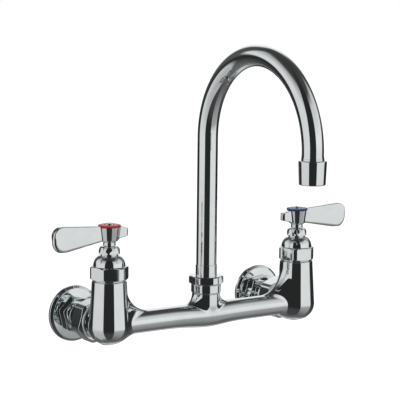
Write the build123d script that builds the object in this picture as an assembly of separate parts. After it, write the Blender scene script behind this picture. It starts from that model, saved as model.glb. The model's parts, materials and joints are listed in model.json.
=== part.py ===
from build123d import *
import math
import os

# Commercial wall faucet: two quarter-turn valves on a cast bridge body, with a
# swivelling gooseneck spout. Millimetres.
# Frame: the origin lies midway between the two inlets, on the finished wall and at
# inlet height. +X runs along the wall, +Y into the wall and +Z up.

os.makedirs("parts", exist_ok=True)

# ---- layout ---------------------------------------------------------------------
INLET_CENTRES = 203.2          # 8 in between the two supplies
COLUMN_STANDOFF = 63.0         # wall to the axes of the columns and the spout post
SPOUT_REACH = 152.4            # 6 in from the post axis to the outlet axis
ARC_CENTRE_HEIGHT = 160.0      # inlet axis to the centre of the gooseneck's arc

# ---- clearances -----------------------------------------------------------------
THREAD_FIT = 0.05              # radial gap left between two mating threads
RUNNING_FIT = 0.05             # radial gap of a turning shaft in its hole
LOOSE_FIT = 0.2                # radial gap of a piece that only passes through
SEAT_GAP = 0.1                 # axial gap under a piece that can still turn or draw up
HANDLE_GAP = 0.3               # lever hub above the packing nut
STEM_HOLE_GAP = 0.4            # radial gap of the stem in the two nuts it rises through
CUT_MARGIN = 1.0               # how far a cutter reaches past the surface it opens
HEX_CHAMFER_ANGLE = 30.0

# ---- cast body ------------------------------------------------------------------
COLUMN_RADIUS = 17.6           # at its foot, level with the inlets
COLUMN_TOP_RADIUS = 15.2
COLUMN_TOP = 40.4
COLUMN_CHAMFER = 1.2
COLUMN_BOTTOM = 15.9           # depth of the rounded bottom below the inlet axis
COLUMN_FLAT = 1.6              # radius of the flat left in the middle of that bottom
COLUMN_FILLET = 4.0            # blends the arm and the bridge into a column
BAR_RADIUS = 9.9
BAR_SWELL = 2.4                # added to that at the spout axis
BAR_SWELL_REACH = 22.0
BAR_BORE = 6.0                 # radius
BAR_BORE_WALL = 3.0            # metal left between the end of that bore and a column
COLUMN_FLARE = 23.4            # radius of the saddle between the bar's top and a column
COLUMN_SIDE = 1.5              # how much wider than the bar that saddle gets each side
BOSS_RADIUS = 12.6
BOSS_TOP = 19.7
BOSS_FLARE = 9.5               # length of the saddle at the spout boss
BOSS_FLARE_RISE = 8.2          # and its height
ARM_RADIUS = 15.0              # inlet arm between a column and its union nut
INLET_BORE = 8.0               # waterway radius through an arm
SEAT_HEIGHT = 12.0             # floor of the cartridge bore
SEAT_PORT = 5.5                # radius of the hole in that floor
CARTRIDGE_BORE = 10.5
RISER_RADIUS = 3.8             # drilling from the bar's bore up to the cartridge bore
RISER_FOOT = 8.0               # its lower end, beyond the column's side
RISER_RISE = 5.0               # its upper end, above the seat
SADDLE_SECTIONS = 6
SADDLE_SPACING = 0.8           # draws the sections closer together near the post
SADDLE_STEEPEST = 0.97         # share of a saddle's radius at its last section
SADDLE_END = 0.55              # share of the post's radius at which that section lies

# ---- wall union, distances from the wall ----------------------------------------
FLANGE_RADIUS = 25.4           # 2 in wall flange
FLANGE_HEIGHT = 5.0
FLANGE_RIM = 1.3
FLANGE_SHEET = 1.1             # wall thickness of the flange
FLANGE_LAND = 1.6              # flat round the hole
FLANGE_CROWN = 1.1             # bulge of the dome
ADAPTER_BARREL = 13.4          # radius inside the flange
ADAPTER_FLATS = 31.0
ADAPTER_CORNER = 17.3          # radius the hex corners are turned down to
ADAPTER_HEX_LENGTH = 8.6
ADAPTER_NECK = 11.4
INLET_THREAD_RADIUS = 10.4     # 1/2 in pipe thread, female
INLET_THREAD_DEPTH = 13.0
TAIL_COLLAR_RADIUS = 13.6
TAIL_COLLAR_LENGTH = 2.6
UNION_FLATS = 35.0
UNION_CORNER = 19.4
UNION_FACE_INSET = 0.6         # the end chamfers reach this far inside the flats
UNION_START = 28.0
UNION_LENGTH = 16.0
UNION_LIP = 2.5
UNION_WASHER = 2.0
UNION_WASHER_BORE = 8.5
SPIGOT_RADIUS = 14.1           # male thread on the end of an arm
ARM_GAP = 1.5                  # bare thread left between the nut and an arm's shoulder

# ---- valve, heights above the inlet axis ----------------------------------------
SEAL_THICKNESS = 2.0
SEAL_BORE = 5.6
DISC_RADIUS = 7.6
DISC_THICKNESS = 3.0
DISC_PORT = 2.3
DISC_PORT_CENTRE = 4.0
DISC_SLOT_WIDTH = 2.4
DISC_SLOT_DEPTH = 1.2
DISC_CHAMBER = 14.0            # height of the cartridge's lower chamber above the seat
CARTRIDGE_RADIUS = 9.0
CARTRIDGE_FLANGE_RADIUS = 12.5
CARTRIDGE_FLANGE = 2.9
CARTRIDGE_RISE = 5.6           # cartridge above the column's top
CARTRIDGE_FOOT_GAP = 0.3       # cartridge above the seat
WINDOW_WIDTH = 6.0
WINDOW_HEIGHT = 4.6
WINDOW_RAISE = 0.6             # windows above the discs
STEM_RADIUS = 4.0
STEM_FOOT_GAP = 2.0            # round part of the stem above the discs
TONGUE_LENGTH = 13.7
TONGUE_ROOT = 1.0              # how far the tongue runs up into the round part
STEM_TANG = 5.6                # square end inside the lever
STEM_TANG_LENGTH = 13.4
STEM_RING_OFFSETS = (4.0, 9.0)  # sealing rings above the cartridge's chamber
RING_GROOVE_DEPTH = 1.3
RING_GROOVE_WIDTH = 1.9
RING_EDGE = 0.4
BONNET_FLATS = 31.0
BONNET_CORNER = 17.0           # radius the hex corners are turned down to
BONNET_HEX_LENGTH = 12.4
BONNET_SKIRT_RADIUS = 12.6
BONNET_SKIRT_LENGTH = 10.4
BONNET_CAVITY_RADIUS = 9.3
BONNET_CAVITY_ROOF = 2.0       # above the cartridge
DOME_RADIUS = 14.1
DOME_HEIGHT = 9.2
DOME_TOP_RADIUS = 9.0
DOME_BULGE = 1.7
BONNET_NECK_RADIUS = 7.8
BONNET_NECK_LENGTH = 1.4
PACKING_RADIUS = 6.1
PACKING_LENGTH = 3.0
PACKING_BORE_DEPTH = 7.4
PACKING_FLATS = 17.8
PACKING_CORNER = 9.8
PACKING_CHAMFER = 0.8
PACKING_HEX_LENGTH = 6.9
PACKING_CROWN = 2.9            # height of the rounded top of the packing nut
PACKING_CROWN_RADIUS = 6.4     # where the rounded top ends
PACKING_BULGE = 0.7

# ---- lever, index ring and screw ------------------------------------------------
HUB_NECK_RADIUS = 5.45
HUB_NECK_LENGTH = 3.0
HUB_FLARE = 1.4                # height over which the neck widens to the hub
HUB_LOW_RADIUS = 7.3
HUB_TOP_RADIUS = 8.65
HUB_LENGTH = 16.3
LEVER_LENGTH = 56.0            # valve axis to the tip of the blade
LEVER_THICKNESS = 6.2
LEVER_EDGE = 2.9               # rounding of the blade's rim
LEVER_TOP_ROOT = 0.8           # the blade's top edge above the hub's top, at the axis
LEVER_TOP_RISE = 4.4           # the same edge at the tip
LEVER_LOW_ROOT = 10.9          # the blade's lower edge below the hub's top, at the axis
LEVER_LOW_TIP = 21.4           # the same edge at the tip
LEVER_TIP_TOP = 10.0           # radius of the tip's upper corner
LEVER_TIP_FLAT = 0.3           # straight stretch left between the tip's two corners
TAIL_LENGTH = 18.4
TAIL_TOP = 0.5                 # the tail's top edge above the hub's top
TAIL_FLAT = 12.1               # length of that edge before it slopes
TAIL_TOP_DROP = 1.8
TAIL_LOW = 8.4                 # lower corner of the tail's end below the hub's top
TAIL_LOW_ROOT = 12.5           # the lower edge below the hub's top, at the axis
TAIL_CHAMFER = 2.0
RING_RADIUS = 9.8
RING_THICKNESS = 2.2
RING_CHAMFER = 0.6
RING_NOTCHES = 12
NOTCH_RADIUS = 0.9
NOTCH_RAISE = 0.4              # notch axis above the ring's top
NOTCH_START = 7.0              # distance from the axis at which a notch begins
SCREW_HEAD_RADIUS = 4.1
SCREW_HEAD_HEIGHT = 3.6
SCREW_HEAD_EDGE = 0.9
SCREW_HEAD_FLAT = 1.2
SCREW_HEAD_BULGE = 0.6
SCREW_SHANK_RADIUS = 1.9
SCREW_HOLE_DEPTH = 12.0
SCREW_POINT_GAP = 1.0          # left free at the bottom of its hole
SCREW_SLOT = 0.9

# ---- swivel joint of the spout, heights above the inlet axis ---------------------
ADAPTER_THREAD_RADIUS = 9.6    # lower thread, in the body's boss
ADAPTER_THREAD_LENGTH = 11.6
POST_COLLAR_RADIUS = 13.5
POST_COLLAR_LENGTH = 7.8
POST_COLLAR_EDGE = 0.8
POST_THREAD_RADIUS = 12.4      # upper thread, under the spout nut
POST_THREAD_LENGTH = 3.5
POST_LEDGE = 4.0               # floor below the spout's shank
POST_PORT = 6.4                # radius of the waterway below the adapter
POST_SOCKET = 12.7             # 1/2 in key socket through that floor, across flats
SHANK_RADIUS = 8.95
SHANK_FLANGE_RADIUS = 11.6
SHANK_FLANGE = 1.3
SHANK_BORE = 6.4
SHANK_FOOT_GAP = 0.5
SHANK_RING_DROPS = (14.9, 7.9)  # sealing rings below the flange
COLLAR_RADIUS = 9.6
COLLAR_CHAMFER = 0.4
COLLAR_TOP = 45.2
SWIVEL_WASHER = 0.8
SWIVEL_WASHER_MARGIN = 0.3     # clear of the shank inside and of the nut outside
SPOUT_NUT_FLATS = 29.0
SPOUT_NUT_CORNER = 15.6
SPOUT_NUT_LENGTH = 7.2
SPOUT_NUT_LIP = 1.7
SPOUT_NUT_RAISE = 0.4          # the nut's lower face above the collar

# ---- gooseneck and aerator ------------------------------------------------------
TUBE_RADIUS = 9.15
TUBE_WALL = 1.15
TUBE_SPIGOT = 7.8              # length of the shank's spigot inside the tube
TIP_DROP = 3.8                 # straight end of the tube below the arc
TIP_COLLAR = 1.6
TIP_SPIGOT = 3.5               # length of the tip's spigot inside the tube
TIP_THREAD_RADIUS = 9.3
TIP_THREAD_LENGTH = 8.6
TIP_BORE = 6.4
AERATOR_TOP_RADIUS = 11.8
AERATOR_END_RADIUS = 11.0
AERATOR_LENGTH = 20.1
AERATOR_EDGE = 0.7
AERATOR_THREAD_DEPTH = 11.0
AERATOR_MOUTH = 8.6
AERATOR_WASHER = 1.7
AERATOR_WASHER_BORE = 6.8
INSERT_FLANGE = 0.8
INSERT_LENGTH = 5.5
INSERT_WALL = 1.1
INSERT_HOLE = 0.95
INSERT_PITCH = 3.0
INSERT_PLATE = 2.2
SCREEN_THICKNESS = 0.6
SCREEN_RAISE = 0.4             # screen above the insert's lower rim
SCREEN_HOLE = 0.76
SCREEN_PITCH = 2.4

# ---- how far the hexes stand turned, in degrees ----------------------------------
SIDES = {"hot": -1, "cold": 1}
ADAPTER_TURN = {"hot": -16.0, "cold": 10.0}
UNION_TURN = {"hot": 15.0, "cold": 20.0}
BONNET_TURN = {"hot": 43.0, "cold": 48.0}
PACKING_TURN = {"hot": 53.0, "cold": 52.0}
SPOUT_NUT_TURN = 29.5

# ---- distances and heights that follow from the sizes above ------------------------
HALF_CENTRES = INLET_CENTRES / 2
BAR_START = BOSS_RADIUS + BOSS_FLARE
BAR_END = HALF_CENTRES - COLUMN_RADIUS - COLUMN_FLARE
TAIL_COLLAR_START = UNION_START + UNION_LIP + SEAT_GAP
UNION_WASHER_START = TAIL_COLLAR_START + TAIL_COLLAR_LENGTH
SPIGOT_END = UNION_WASHER_START + UNION_WASHER
UNION_END = UNION_START + UNION_LENGTH
FIXED_DISC_LOW = SEAT_HEIGHT + SEAL_THICKNESS
MOVING_DISC_LOW = FIXED_DISC_LOW + DISC_THICKNESS + RUNNING_FIT
DISCS_TOP = MOVING_DISC_LOW + DISC_THICKNESS
CHAMBER_TOP = SEAT_HEIGHT + DISC_CHAMBER
STEM_RING_HEIGHTS = tuple(CHAMBER_TOP + offset for offset in STEM_RING_OFFSETS)
CARTRIDGE_FLANGE_LOW = COLUMN_TOP - BONNET_SKIRT_LENGTH - CARTRIDGE_FLANGE - SEAT_GAP
CARTRIDGE_TOP = COLUMN_TOP + CARTRIDGE_RISE
BONNET_HEX_TOP = COLUMN_TOP + BONNET_HEX_LENGTH
DOME_TOP = BONNET_HEX_TOP + DOME_HEIGHT
BONNET_TOP = DOME_TOP + BONNET_NECK_LENGTH
PACKING_LOW = BONNET_TOP - PACKING_BORE_DEPTH
PACKING_NUT_TOP = BONNET_TOP + PACKING_HEX_LENGTH
HUB_BOTTOM = PACKING_NUT_TOP + HANDLE_GAP
HUB_TOP = HUB_BOTTOM + HUB_LENGTH
TANG_START = HUB_BOTTOM - SEAT_GAP
TANG_TOP = TANG_START + STEM_TANG_LENGTH
POST_FOOT = BOSS_TOP - ADAPTER_THREAD_LENGTH
POST_COLLAR_TOP = BOSS_TOP + POST_COLLAR_LENGTH
POST_TOP = POST_COLLAR_TOP + POST_THREAD_LENGTH
SHANK_FLANGE_LOW = POST_TOP + SWIVEL_WASHER + SEAT_GAP
SHANK_RING_HEIGHTS = tuple(SHANK_FLANGE_LOW - drop for drop in SHANK_RING_DROPS)
TUBE_END = ARC_CENTRE_HEIGHT - TIP_DROP
TIP_COLLAR_LOW = TUBE_END - TIP_COLLAR
TIP_END = TIP_COLLAR_LOW - TIP_THREAD_LENGTH
INSERT_TOP = TIP_END - AERATOR_WASHER


# ---- helpers --------------------------------------------------------------------
def turned(*corners):
    """Solid of revolution about Z from (radius, height) corners."""
    outline = Plane.XZ * Polyline(*corners, close=True)
    return revolve(make_face(outline), axis=Axis.Z)


def rod(radius, low, high):
    """Cylinder about Z between two heights."""
    return Pos(0, 0, low) * extrude(Circle(radius), amount=high - low)


def tube(outer, inner, low, high):
    """Ring about Z between two heights."""
    return Pos(0, 0, low) * extrude(Circle(outer) - Circle(inner), amount=high - low)


def circles_at(part, radius, height):
    """The part's circular edges of one radius at one height."""
    found = part.edges().filter_by(GeomType.CIRCLE)
    found = found.filter_by(lambda edge: abs(edge.radius - radius) < 0.01)
    return found.filter_by(lambda edge: abs(edge.arc_center.Z - height) < 0.01)


def hex_bar(flats, corner, low, high, turn, inset=0.0):
    """Hex between two heights, its ends turned to a cone that reaches inside the flats."""
    length = high - low
    prism = extrude(RegularPolygon(flats / 2, 6, major_radius=False), amount=length)
    face_radius = flats / 2 - inset
    bevel = (corner - face_radius) * math.tan(math.radians(HEX_CHAMFER_ANGLE))
    envelope = turned((0, 0), (face_radius, 0), (corner, bevel), (corner, length - bevel),
                      (face_radius, length), (0, length))
    return Pos(0, 0, low) * Rot(0, 0, turn) * (prism & envelope)


def on_post(part, x):
    """Stand a part turned about Z on the column or post axis at x."""
    return Pos(x, -COLUMN_STANDOFF, 0) * part


def on_inlet(part, side):
    """Lay a part turned about Z along an inlet, its heights counted from the wall."""
    return Pos(SIDES[side] * HALF_CENTRES, 0, 0) * Rot(90, 0, 0) * part


def write(name, part):
    """Write one node."""
    part.label = name
    export_step(part, "parts/" + name + ".step")


# ---- cast body ------------------------------------------------------------------
def bridge_section(away):
    """Ellipse of the bridge at a distance from the spout axis."""
    base = BAR_RADIUS + BAR_SWELL * math.exp(-(away / BAR_SWELL_REACH) ** 2)
    into_boss = min(max((BAR_START - away) / BOSS_FLARE, 0), SADDLE_STEEPEST)
    into_column = min(max((away - BAR_END) / COLUMN_FLARE, 0), SADDLE_STEEPEST)
    boss_lift = 1 - math.sqrt(1 - into_boss ** 2)
    column_lift = 1 - math.sqrt(1 - into_column ** 2)
    top = base + BOSS_FLARE_RISE * boss_lift + COLUMN_FLARE * column_lift
    half_width = base + COLUMN_SIDE * column_lift
    place = Plane(origin=(away, 0, (top - base) / 2), x_dir=(0, 1, 0), z_dir=(1, 0, 0))
    return place * Ellipse(half_width, (top + base) / 2)


def half_bridge():
    """The bar from the boss to one column, its ends climbing both in saddles."""
    boss_climb = BAR_START - BOSS_RADIUS * SADDLE_END
    column_climb = HALF_CENTRES - COLUMN_RADIUS * SADDLE_END - BAR_END
    shares = [(step / SADDLE_SECTIONS) ** SADDLE_SPACING for step in range(SADDLE_SECTIONS + 1)]
    stops = [BAR_START - boss_climb * share for share in reversed(shares)]
    stops += [BAR_START + (BAR_END - BAR_START) * third / 3 for third in (1, 2)]
    stops += [BAR_END + column_climb * share for share in shares]
    return loft([bridge_section(away) for away in stops])


def column_and_arm():
    """Tapered column with a rounded bottom, and the inlet arm behind it, at X=0."""
    taper = (COLUMN_RADIUS - COLUMN_TOP_RADIUS) / (COLUMN_TOP - COLUMN_CHAMFER)
    foot_radius = COLUMN_RADIUS + taper * COLUMN_BOTTOM
    outline = make_face(Polyline((0, -COLUMN_BOTTOM), (foot_radius, -COLUMN_BOTTOM),
                                 (COLUMN_TOP_RADIUS, COLUMN_TOP - COLUMN_CHAMFER),
                                 (COLUMN_TOP_RADIUS - COLUMN_CHAMFER, COLUMN_TOP),
                                 (0, COLUMN_TOP), close=True))
    corner_angle = math.pi / 2 - math.atan(taper)
    rounding = (foot_radius - COLUMN_FLAT) * math.tan(corner_angle / 2)
    outline = fillet(outline.vertices().group_by(Axis.X)[-1], rounding)
    column = revolve(Plane.XZ * outline, axis=Axis.Z)
    arm = rod(ARM_RADIUS, UNION_END + ARM_GAP, COLUMN_STANDOFF)
    arm += rod(SPIGOT_RADIUS, SPIGOT_END, COLUMN_STANDOFF)
    arm = Pos(0, COLUMN_STANDOFF, 0) * Rot(90, 0, 0) * arm
    joined = column + arm
    return fillet(new_edges(column, arm, combined=joined), COLUMN_FILLET)


def body_blank():
    """Outside of the whole casting."""
    bridge = half_bridge()
    blank = rod(BOSS_RADIUS, 0, BOSS_TOP) + Sphere(BOSS_RADIUS)
    blank += bridge
    blank += mirror(bridge, Plane.YZ)
    for sign in SIDES.values():
        column = Pos(sign * HALF_CENTRES, 0, 0) * column_and_arm()
        joined = blank + column
        blank = fillet(new_edges(blank, column, combined=joined), COLUMN_FILLET)
    return Pos(0, -COLUMN_STANDOFF, 0) * blank


def waterways():
    """Everything that is bored out of the casting."""
    bar_end = HALF_CENTRES - COLUMN_RADIUS - BAR_BORE_WALL
    holes = Rot(0, 90, 0) * rod(BAR_BORE, -bar_end, bar_end)
    holes += rod(ADAPTER_THREAD_RADIUS + THREAD_FIT, POST_FOOT - CUT_MARGIN, BOSS_TOP)
    holes += rod(POST_PORT, 0, BOSS_TOP)
    holes = Pos(0, -COLUMN_STANDOFF, 0) * holes
    for side, sign in SIDES.items():
        well = rod(CARTRIDGE_BORE, SEAT_HEIGHT, COLUMN_TOP)
        well += rod(BONNET_SKIRT_RADIUS + THREAD_FIT, CARTRIDGE_FLANGE_LOW, COLUMN_TOP)
        well += rod(SEAT_PORT, 0, SEAT_HEIGHT) + Sphere(INLET_BORE)
        riser_foot = Vector(COLUMN_RADIUS + RISER_FOOT, 0, 0)
        riser_head = Vector(CARTRIDGE_BORE - CUT_MARGIN, 0, SEAT_HEIGHT + RISER_RISE)
        climb = riser_head - riser_foot
        riser_plane = Plane(origin=riser_foot, z_dir=climb)
        riser = riser_plane * extrude(Circle(RISER_RADIUS), amount=climb.length)
        well += mirror(riser, Plane.YZ) if sign > 0 else riser
        holes += on_post(well, sign * HALF_CENTRES)
        holes += on_inlet(rod(INLET_BORE, 0, COLUMN_STANDOFF), side)
    return holes


def faucet_body():
    """The bridge casting with its bores and threads' bores."""
    return body_blank() - waterways()


# ---- wall union -----------------------------------------------------------------
def wall_flange():
    """Domed sheet flange, hollow towards the wall."""
    hole = ADAPTER_BARREL + LOOSE_FIT
    land = hole + FLANGE_LAND
    inner_radius = FLANGE_RADIUS - FLANGE_SHEET
    inner_height = FLANGE_HEIGHT - FLANGE_SHEET
    inner_rim = FLANGE_RIM - FLANGE_SHEET / 3
    outline = Line((FLANGE_RADIUS, 0), (FLANGE_RADIUS, FLANGE_RIM))
    outline += SagittaArc((FLANGE_RADIUS, FLANGE_RIM), (land, FLANGE_HEIGHT), FLANGE_CROWN)
    outline += Polyline((land, FLANGE_HEIGHT), (hole, FLANGE_HEIGHT), (hole, inner_height),
                        (land, inner_height))
    outline += SagittaArc((land, inner_height), (inner_radius, inner_rim), -FLANGE_CROWN)
    outline += Polyline((inner_radius, inner_rim), (inner_radius, 0), (FLANGE_RADIUS, 0))
    return revolve(make_face(Plane.XZ * outline), axis=Axis.Z)


def inlet_adapter(turn):
    """Female pipe end, hex and collared tailpiece in one brass piece."""
    hex_end = FLANGE_HEIGHT + ADAPTER_HEX_LENGTH
    piece = rod(ADAPTER_BARREL, 0, FLANGE_HEIGHT)
    piece += hex_bar(ADAPTER_FLATS, ADAPTER_CORNER, FLANGE_HEIGHT, hex_end, turn)
    piece += rod(ADAPTER_NECK, hex_end, UNION_WASHER_START)
    piece += rod(TAIL_COLLAR_RADIUS, TAIL_COLLAR_START, UNION_WASHER_START)
    piece -= rod(INLET_THREAD_RADIUS, 0, INLET_THREAD_DEPTH)
    return piece - rod(INLET_BORE, 0, UNION_WASHER_START)


def union_nut(turn):
    """Captive nut that draws the tailpiece onto the body."""
    nut = hex_bar(UNION_FLATS, UNION_CORNER, UNION_START, UNION_END, turn, UNION_FACE_INSET)
    nut -= rod(ADAPTER_NECK + LOOSE_FIT, UNION_START, UNION_END)
    return nut - rod(SPIGOT_RADIUS + THREAD_FIT, UNION_START + UNION_LIP, UNION_END)


def union_washer():
    """Flat rubber washer between tailpiece and body."""
    return tube(TAIL_COLLAR_RADIUS, UNION_WASHER_BORE, UNION_WASHER_START, SPIGOT_END)


# ---- valve ----------------------------------------------------------------------
def seat_seal():
    """Rubber ring under the ceramic discs."""
    return tube(DISC_RADIUS, SEAL_BORE, SEAT_HEIGHT, FIXED_DISC_LOW)


def disc_ports(height, axis):
    """The two round ports of a ceramic disc, along one axis."""
    reach = Vector(*axis) * DISC_PORT_CENTRE
    hole = rod(DISC_PORT, height, height + DISC_THICKNESS)
    return Pos(reach) * hole + Pos(reach * -1) * hole


def fixed_disc():
    """Lower ceramic disc, held still by the cartridge."""
    disc = rod(DISC_RADIUS, FIXED_DISC_LOW, FIXED_DISC_LOW + DISC_THICKNESS)
    return disc - disc_ports(FIXED_DISC_LOW, (1, 0, 0))


def moving_disc():
    """Upper ceramic disc, with the slot that the stem's tongue turns it by."""
    disc = rod(DISC_RADIUS, MOVING_DISC_LOW, DISCS_TOP) - disc_ports(MOVING_DISC_LOW, (0, 1, 0))
    slot = Box(DISC_RADIUS * 2, DISC_SLOT_WIDTH, DISC_SLOT_DEPTH * 2)
    return disc - Pos(0, 0, DISCS_TOP) * slot


def cartridge_body():
    """Brass shell that holds the discs and guides the stem."""
    foot = SEAT_HEIGHT + CARTRIDGE_FOOT_GAP
    shell = rod(CARTRIDGE_RADIUS, foot, CARTRIDGE_TOP)
    shell += rod(CARTRIDGE_FLANGE_RADIUS, CARTRIDGE_FLANGE_LOW,
                 CARTRIDGE_FLANGE_LOW + CARTRIDGE_FLANGE)
    shell -= rod(DISC_RADIUS + RUNNING_FIT, foot, CHAMBER_TOP)
    shell -= rod(STEM_RADIUS + RUNNING_FIT, foot, CARTRIDGE_TOP)
    window = Box(CARTRIDGE_RADIUS * 3, WINDOW_WIDTH, WINDOW_HEIGHT)
    return shell - Pos(0, 0, DISCS_TOP + WINDOW_RAISE + WINDOW_HEIGHT / 2) * window


def shaft_grooves(radius, heights):
    """The cuts for sealing rings round a shaft."""
    cuts = Part()
    for height in heights:
        cuts += tube(radius + CUT_MARGIN, radius - RING_GROOVE_DEPTH, height,
                     height + RING_GROOVE_WIDTH)
    return cuts


def stem():
    """Turning stem: tongue below, ring grooves, square tang and screw hole above."""
    foot = DISCS_TOP + STEM_FOOT_GAP
    tongue_low = DISCS_TOP - DISC_SLOT_DEPTH + SEAT_GAP
    tongue_top = foot + TONGUE_ROOT
    tongue = Box(TONGUE_LENGTH, DISC_SLOT_WIDTH - RUNNING_FIT * 2, tongue_top - tongue_low)
    shaft = rod(STEM_RADIUS, foot, TANG_START)
    shaft += Pos(0, 0, (tongue_top + tongue_low) / 2) * tongue
    shaft -= shaft_grooves(STEM_RADIUS, STEM_RING_HEIGHTS)
    tang = extrude(Rectangle(STEM_TANG, STEM_TANG), amount=STEM_TANG_LENGTH)
    shaft += Pos(0, 0, TANG_START) * tang
    return shaft - rod(SCREW_SHANK_RADIUS + THREAD_FIT, TANG_TOP - SCREW_HOLE_DEPTH, TANG_TOP)


def groove_rings(outer, heights):
    """Sealing rings that fill their grooves up to the shaft's own radius."""
    rings = []
    for height in heights:
        low = height + SEAT_GAP
        high = height + RING_GROOVE_WIDTH - SEAT_GAP
        ring = tube(outer, outer - RING_GROOVE_DEPTH + RUNNING_FIT, low, high)
        rims = circles_at(ring, outer, low) + circles_at(ring, outer, high)
        rings.append(fillet(rims, RING_EDGE))
    return Compound(children=rings)


def bonnet_nut(turn):
    """Skirt into the column, hex, dome and neck, bored for the cartridge and packing."""
    skirt_low = COLUMN_TOP - BONNET_SKIRT_LENGTH
    nut = hex_bar(BONNET_FLATS, BONNET_CORNER, COLUMN_TOP, BONNET_HEX_TOP, turn)
    nut += rod(BONNET_SKIRT_RADIUS, skirt_low, COLUMN_TOP)
    dome = SagittaArc((DOME_RADIUS, BONNET_HEX_TOP), (DOME_TOP_RADIUS, DOME_TOP), -DOME_BULGE)
    dome += Polyline((DOME_TOP_RADIUS, DOME_TOP), (BONNET_NECK_RADIUS, DOME_TOP),
                     (BONNET_NECK_RADIUS, BONNET_TOP), (0, BONNET_TOP), (0, BONNET_HEX_TOP),
                     (DOME_RADIUS, BONNET_HEX_TOP))
    nut += revolve(make_face(Plane.XZ * dome), axis=Axis.Z)
    nut -= rod(BONNET_CAVITY_RADIUS, skirt_low, CARTRIDGE_TOP + BONNET_CAVITY_ROOF)
    nut -= rod(STEM_RADIUS + STEM_HOLE_GAP, COLUMN_TOP, BONNET_TOP)
    return nut - rod(PACKING_RADIUS, PACKING_LOW, BONNET_TOP)


def packing_ring():
    """Soft packing round the stem."""
    return tube(PACKING_RADIUS - THREAD_FIT, STEM_RADIUS + RUNNING_FIT, PACKING_LOW,
                PACKING_LOW + PACKING_LENGTH)


def packing_nut(turn):
    """Small nut with a crowned top that squeezes the packing."""
    prism = extrude(RegularPolygon(PACKING_FLATS / 2, 6, major_radius=False),
                    amount=PACKING_HEX_LENGTH)
    shoulder = PACKING_NUT_TOP - PACKING_CROWN
    crown = Polyline((0, PACKING_NUT_TOP), (0, BONNET_TOP),
                     (PACKING_CORNER - PACKING_CHAMFER, BONNET_TOP),
                     (PACKING_CORNER, BONNET_TOP + PACKING_CHAMFER), (PACKING_CORNER, shoulder))
    crown += SagittaArc((PACKING_CORNER, shoulder), (PACKING_CROWN_RADIUS, PACKING_NUT_TOP),
                        -PACKING_BULGE)
    crown += Line((PACKING_CROWN_RADIUS, PACKING_NUT_TOP), (0, PACKING_NUT_TOP))
    envelope = revolve(make_face(Plane.XZ * crown), axis=Axis.Z)
    nut = (Pos(0, 0, BONNET_TOP) * Rot(0, 0, turn) * prism) & envelope
    spigot_low = PACKING_LOW + PACKING_LENGTH + SEAT_GAP
    nut += rod(PACKING_RADIUS - THREAD_FIT, spigot_low, BONNET_TOP)
    return nut - rod(STEM_RADIUS + STEM_HOLE_GAP, spigot_low, PACKING_NUT_TOP)


# ---- lever ----------------------------------------------------------------------
def lever_tip_radius():
    """Radius of the tip's lower corner, as large as the upper corner leaves room for."""
    top_angle = math.pi / 2 - math.atan2(LEVER_TOP_RISE - LEVER_TOP_ROOT, LEVER_LENGTH)
    low_angle = math.pi / 2 - math.atan2(LEVER_LOW_TIP - LEVER_LOW_ROOT, LEVER_LENGTH)
    room = LEVER_TOP_RISE + LEVER_LOW_TIP - LEVER_TIP_TOP / math.tan(top_angle / 2)
    return (room - LEVER_TIP_FLAT) * math.tan(low_angle / 2)


def lever_blade():
    """Blade of the lever along +X, widening to a rounded tip, with a rounded rim."""
    outline = make_face(Polyline((0, HUB_TOP + LEVER_TOP_ROOT),
                                 (LEVER_LENGTH, HUB_TOP + LEVER_TOP_RISE),
                                 (LEVER_LENGTH, HUB_TOP - LEVER_LOW_TIP),
                                 (0, HUB_TOP - LEVER_LOW_ROOT), close=True))
    outline = fillet(outline.vertices().group_by(Axis.X)[-1].sort_by(Axis.Y)[-1], LEVER_TIP_TOP)
    low_corner = outline.vertices().group_by(Axis.X)[-1].sort_by(Axis.Y)[0]
    outline = fillet(low_corner, lever_tip_radius())
    blade = extrude(Plane.XZ * outline, amount=LEVER_THICKNESS / 2, both=True)
    root = blade.faces().sort_by(Axis.X)[0]
    sides = blade.faces().filter_by(Axis.Y)
    rim = [edge for side in sides for edge in side.edges() if edge not in root.edges()]
    return fillet(rim, LEVER_EDGE)


def lever_tail():
    """Short tapering stub opposite the blade, its end chamfered."""
    top = HUB_TOP + TAIL_TOP
    outline = Polyline((0, top), (-TAIL_FLAT, top), (-TAIL_LENGTH, top - TAIL_TOP_DROP),
                       (-TAIL_LENGTH, HUB_TOP - TAIL_LOW), (0, HUB_TOP - TAIL_LOW_ROOT),
                       close=True)
    tail = extrude(Plane.XZ * make_face(outline), amount=LEVER_THICKNESS / 2, both=True)
    end = tail.faces().sort_by(Axis.X)[0]
    return chamfer(end.edges().filter_by(Axis.Z), TAIL_CHAMFER)


def lever_handle(side):
    """Cone hub with its blade pointing away from the spout."""
    neck_top = HUB_BOTTOM + HUB_NECK_LENGTH
    hub = turned((0, HUB_BOTTOM), (HUB_NECK_RADIUS, HUB_BOTTOM), (HUB_NECK_RADIUS, neck_top),
                 (HUB_LOW_RADIUS, neck_top + HUB_FLARE), (HUB_TOP_RADIUS, HUB_TOP), (0, HUB_TOP))
    recess = rod(RING_RADIUS + LOOSE_FIT, HUB_TOP, HUB_TOP + LEVER_LENGTH)
    lever = hub + (lever_blade() + lever_tail() - recess)
    if SIDES[side] < 0:
        lever = mirror(lever, Plane.YZ)
    hole = STEM_TANG + RUNNING_FIT * 2
    socket = extrude(Rectangle(hole, hole), amount=TANG_TOP + SEAT_GAP - HUB_BOTTOM)
    lever -= Pos(0, 0, HUB_BOTTOM) * socket
    return lever - rod(SCREW_SHANK_RADIUS + LOOSE_FIT, HUB_BOTTOM, HUB_TOP)


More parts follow.
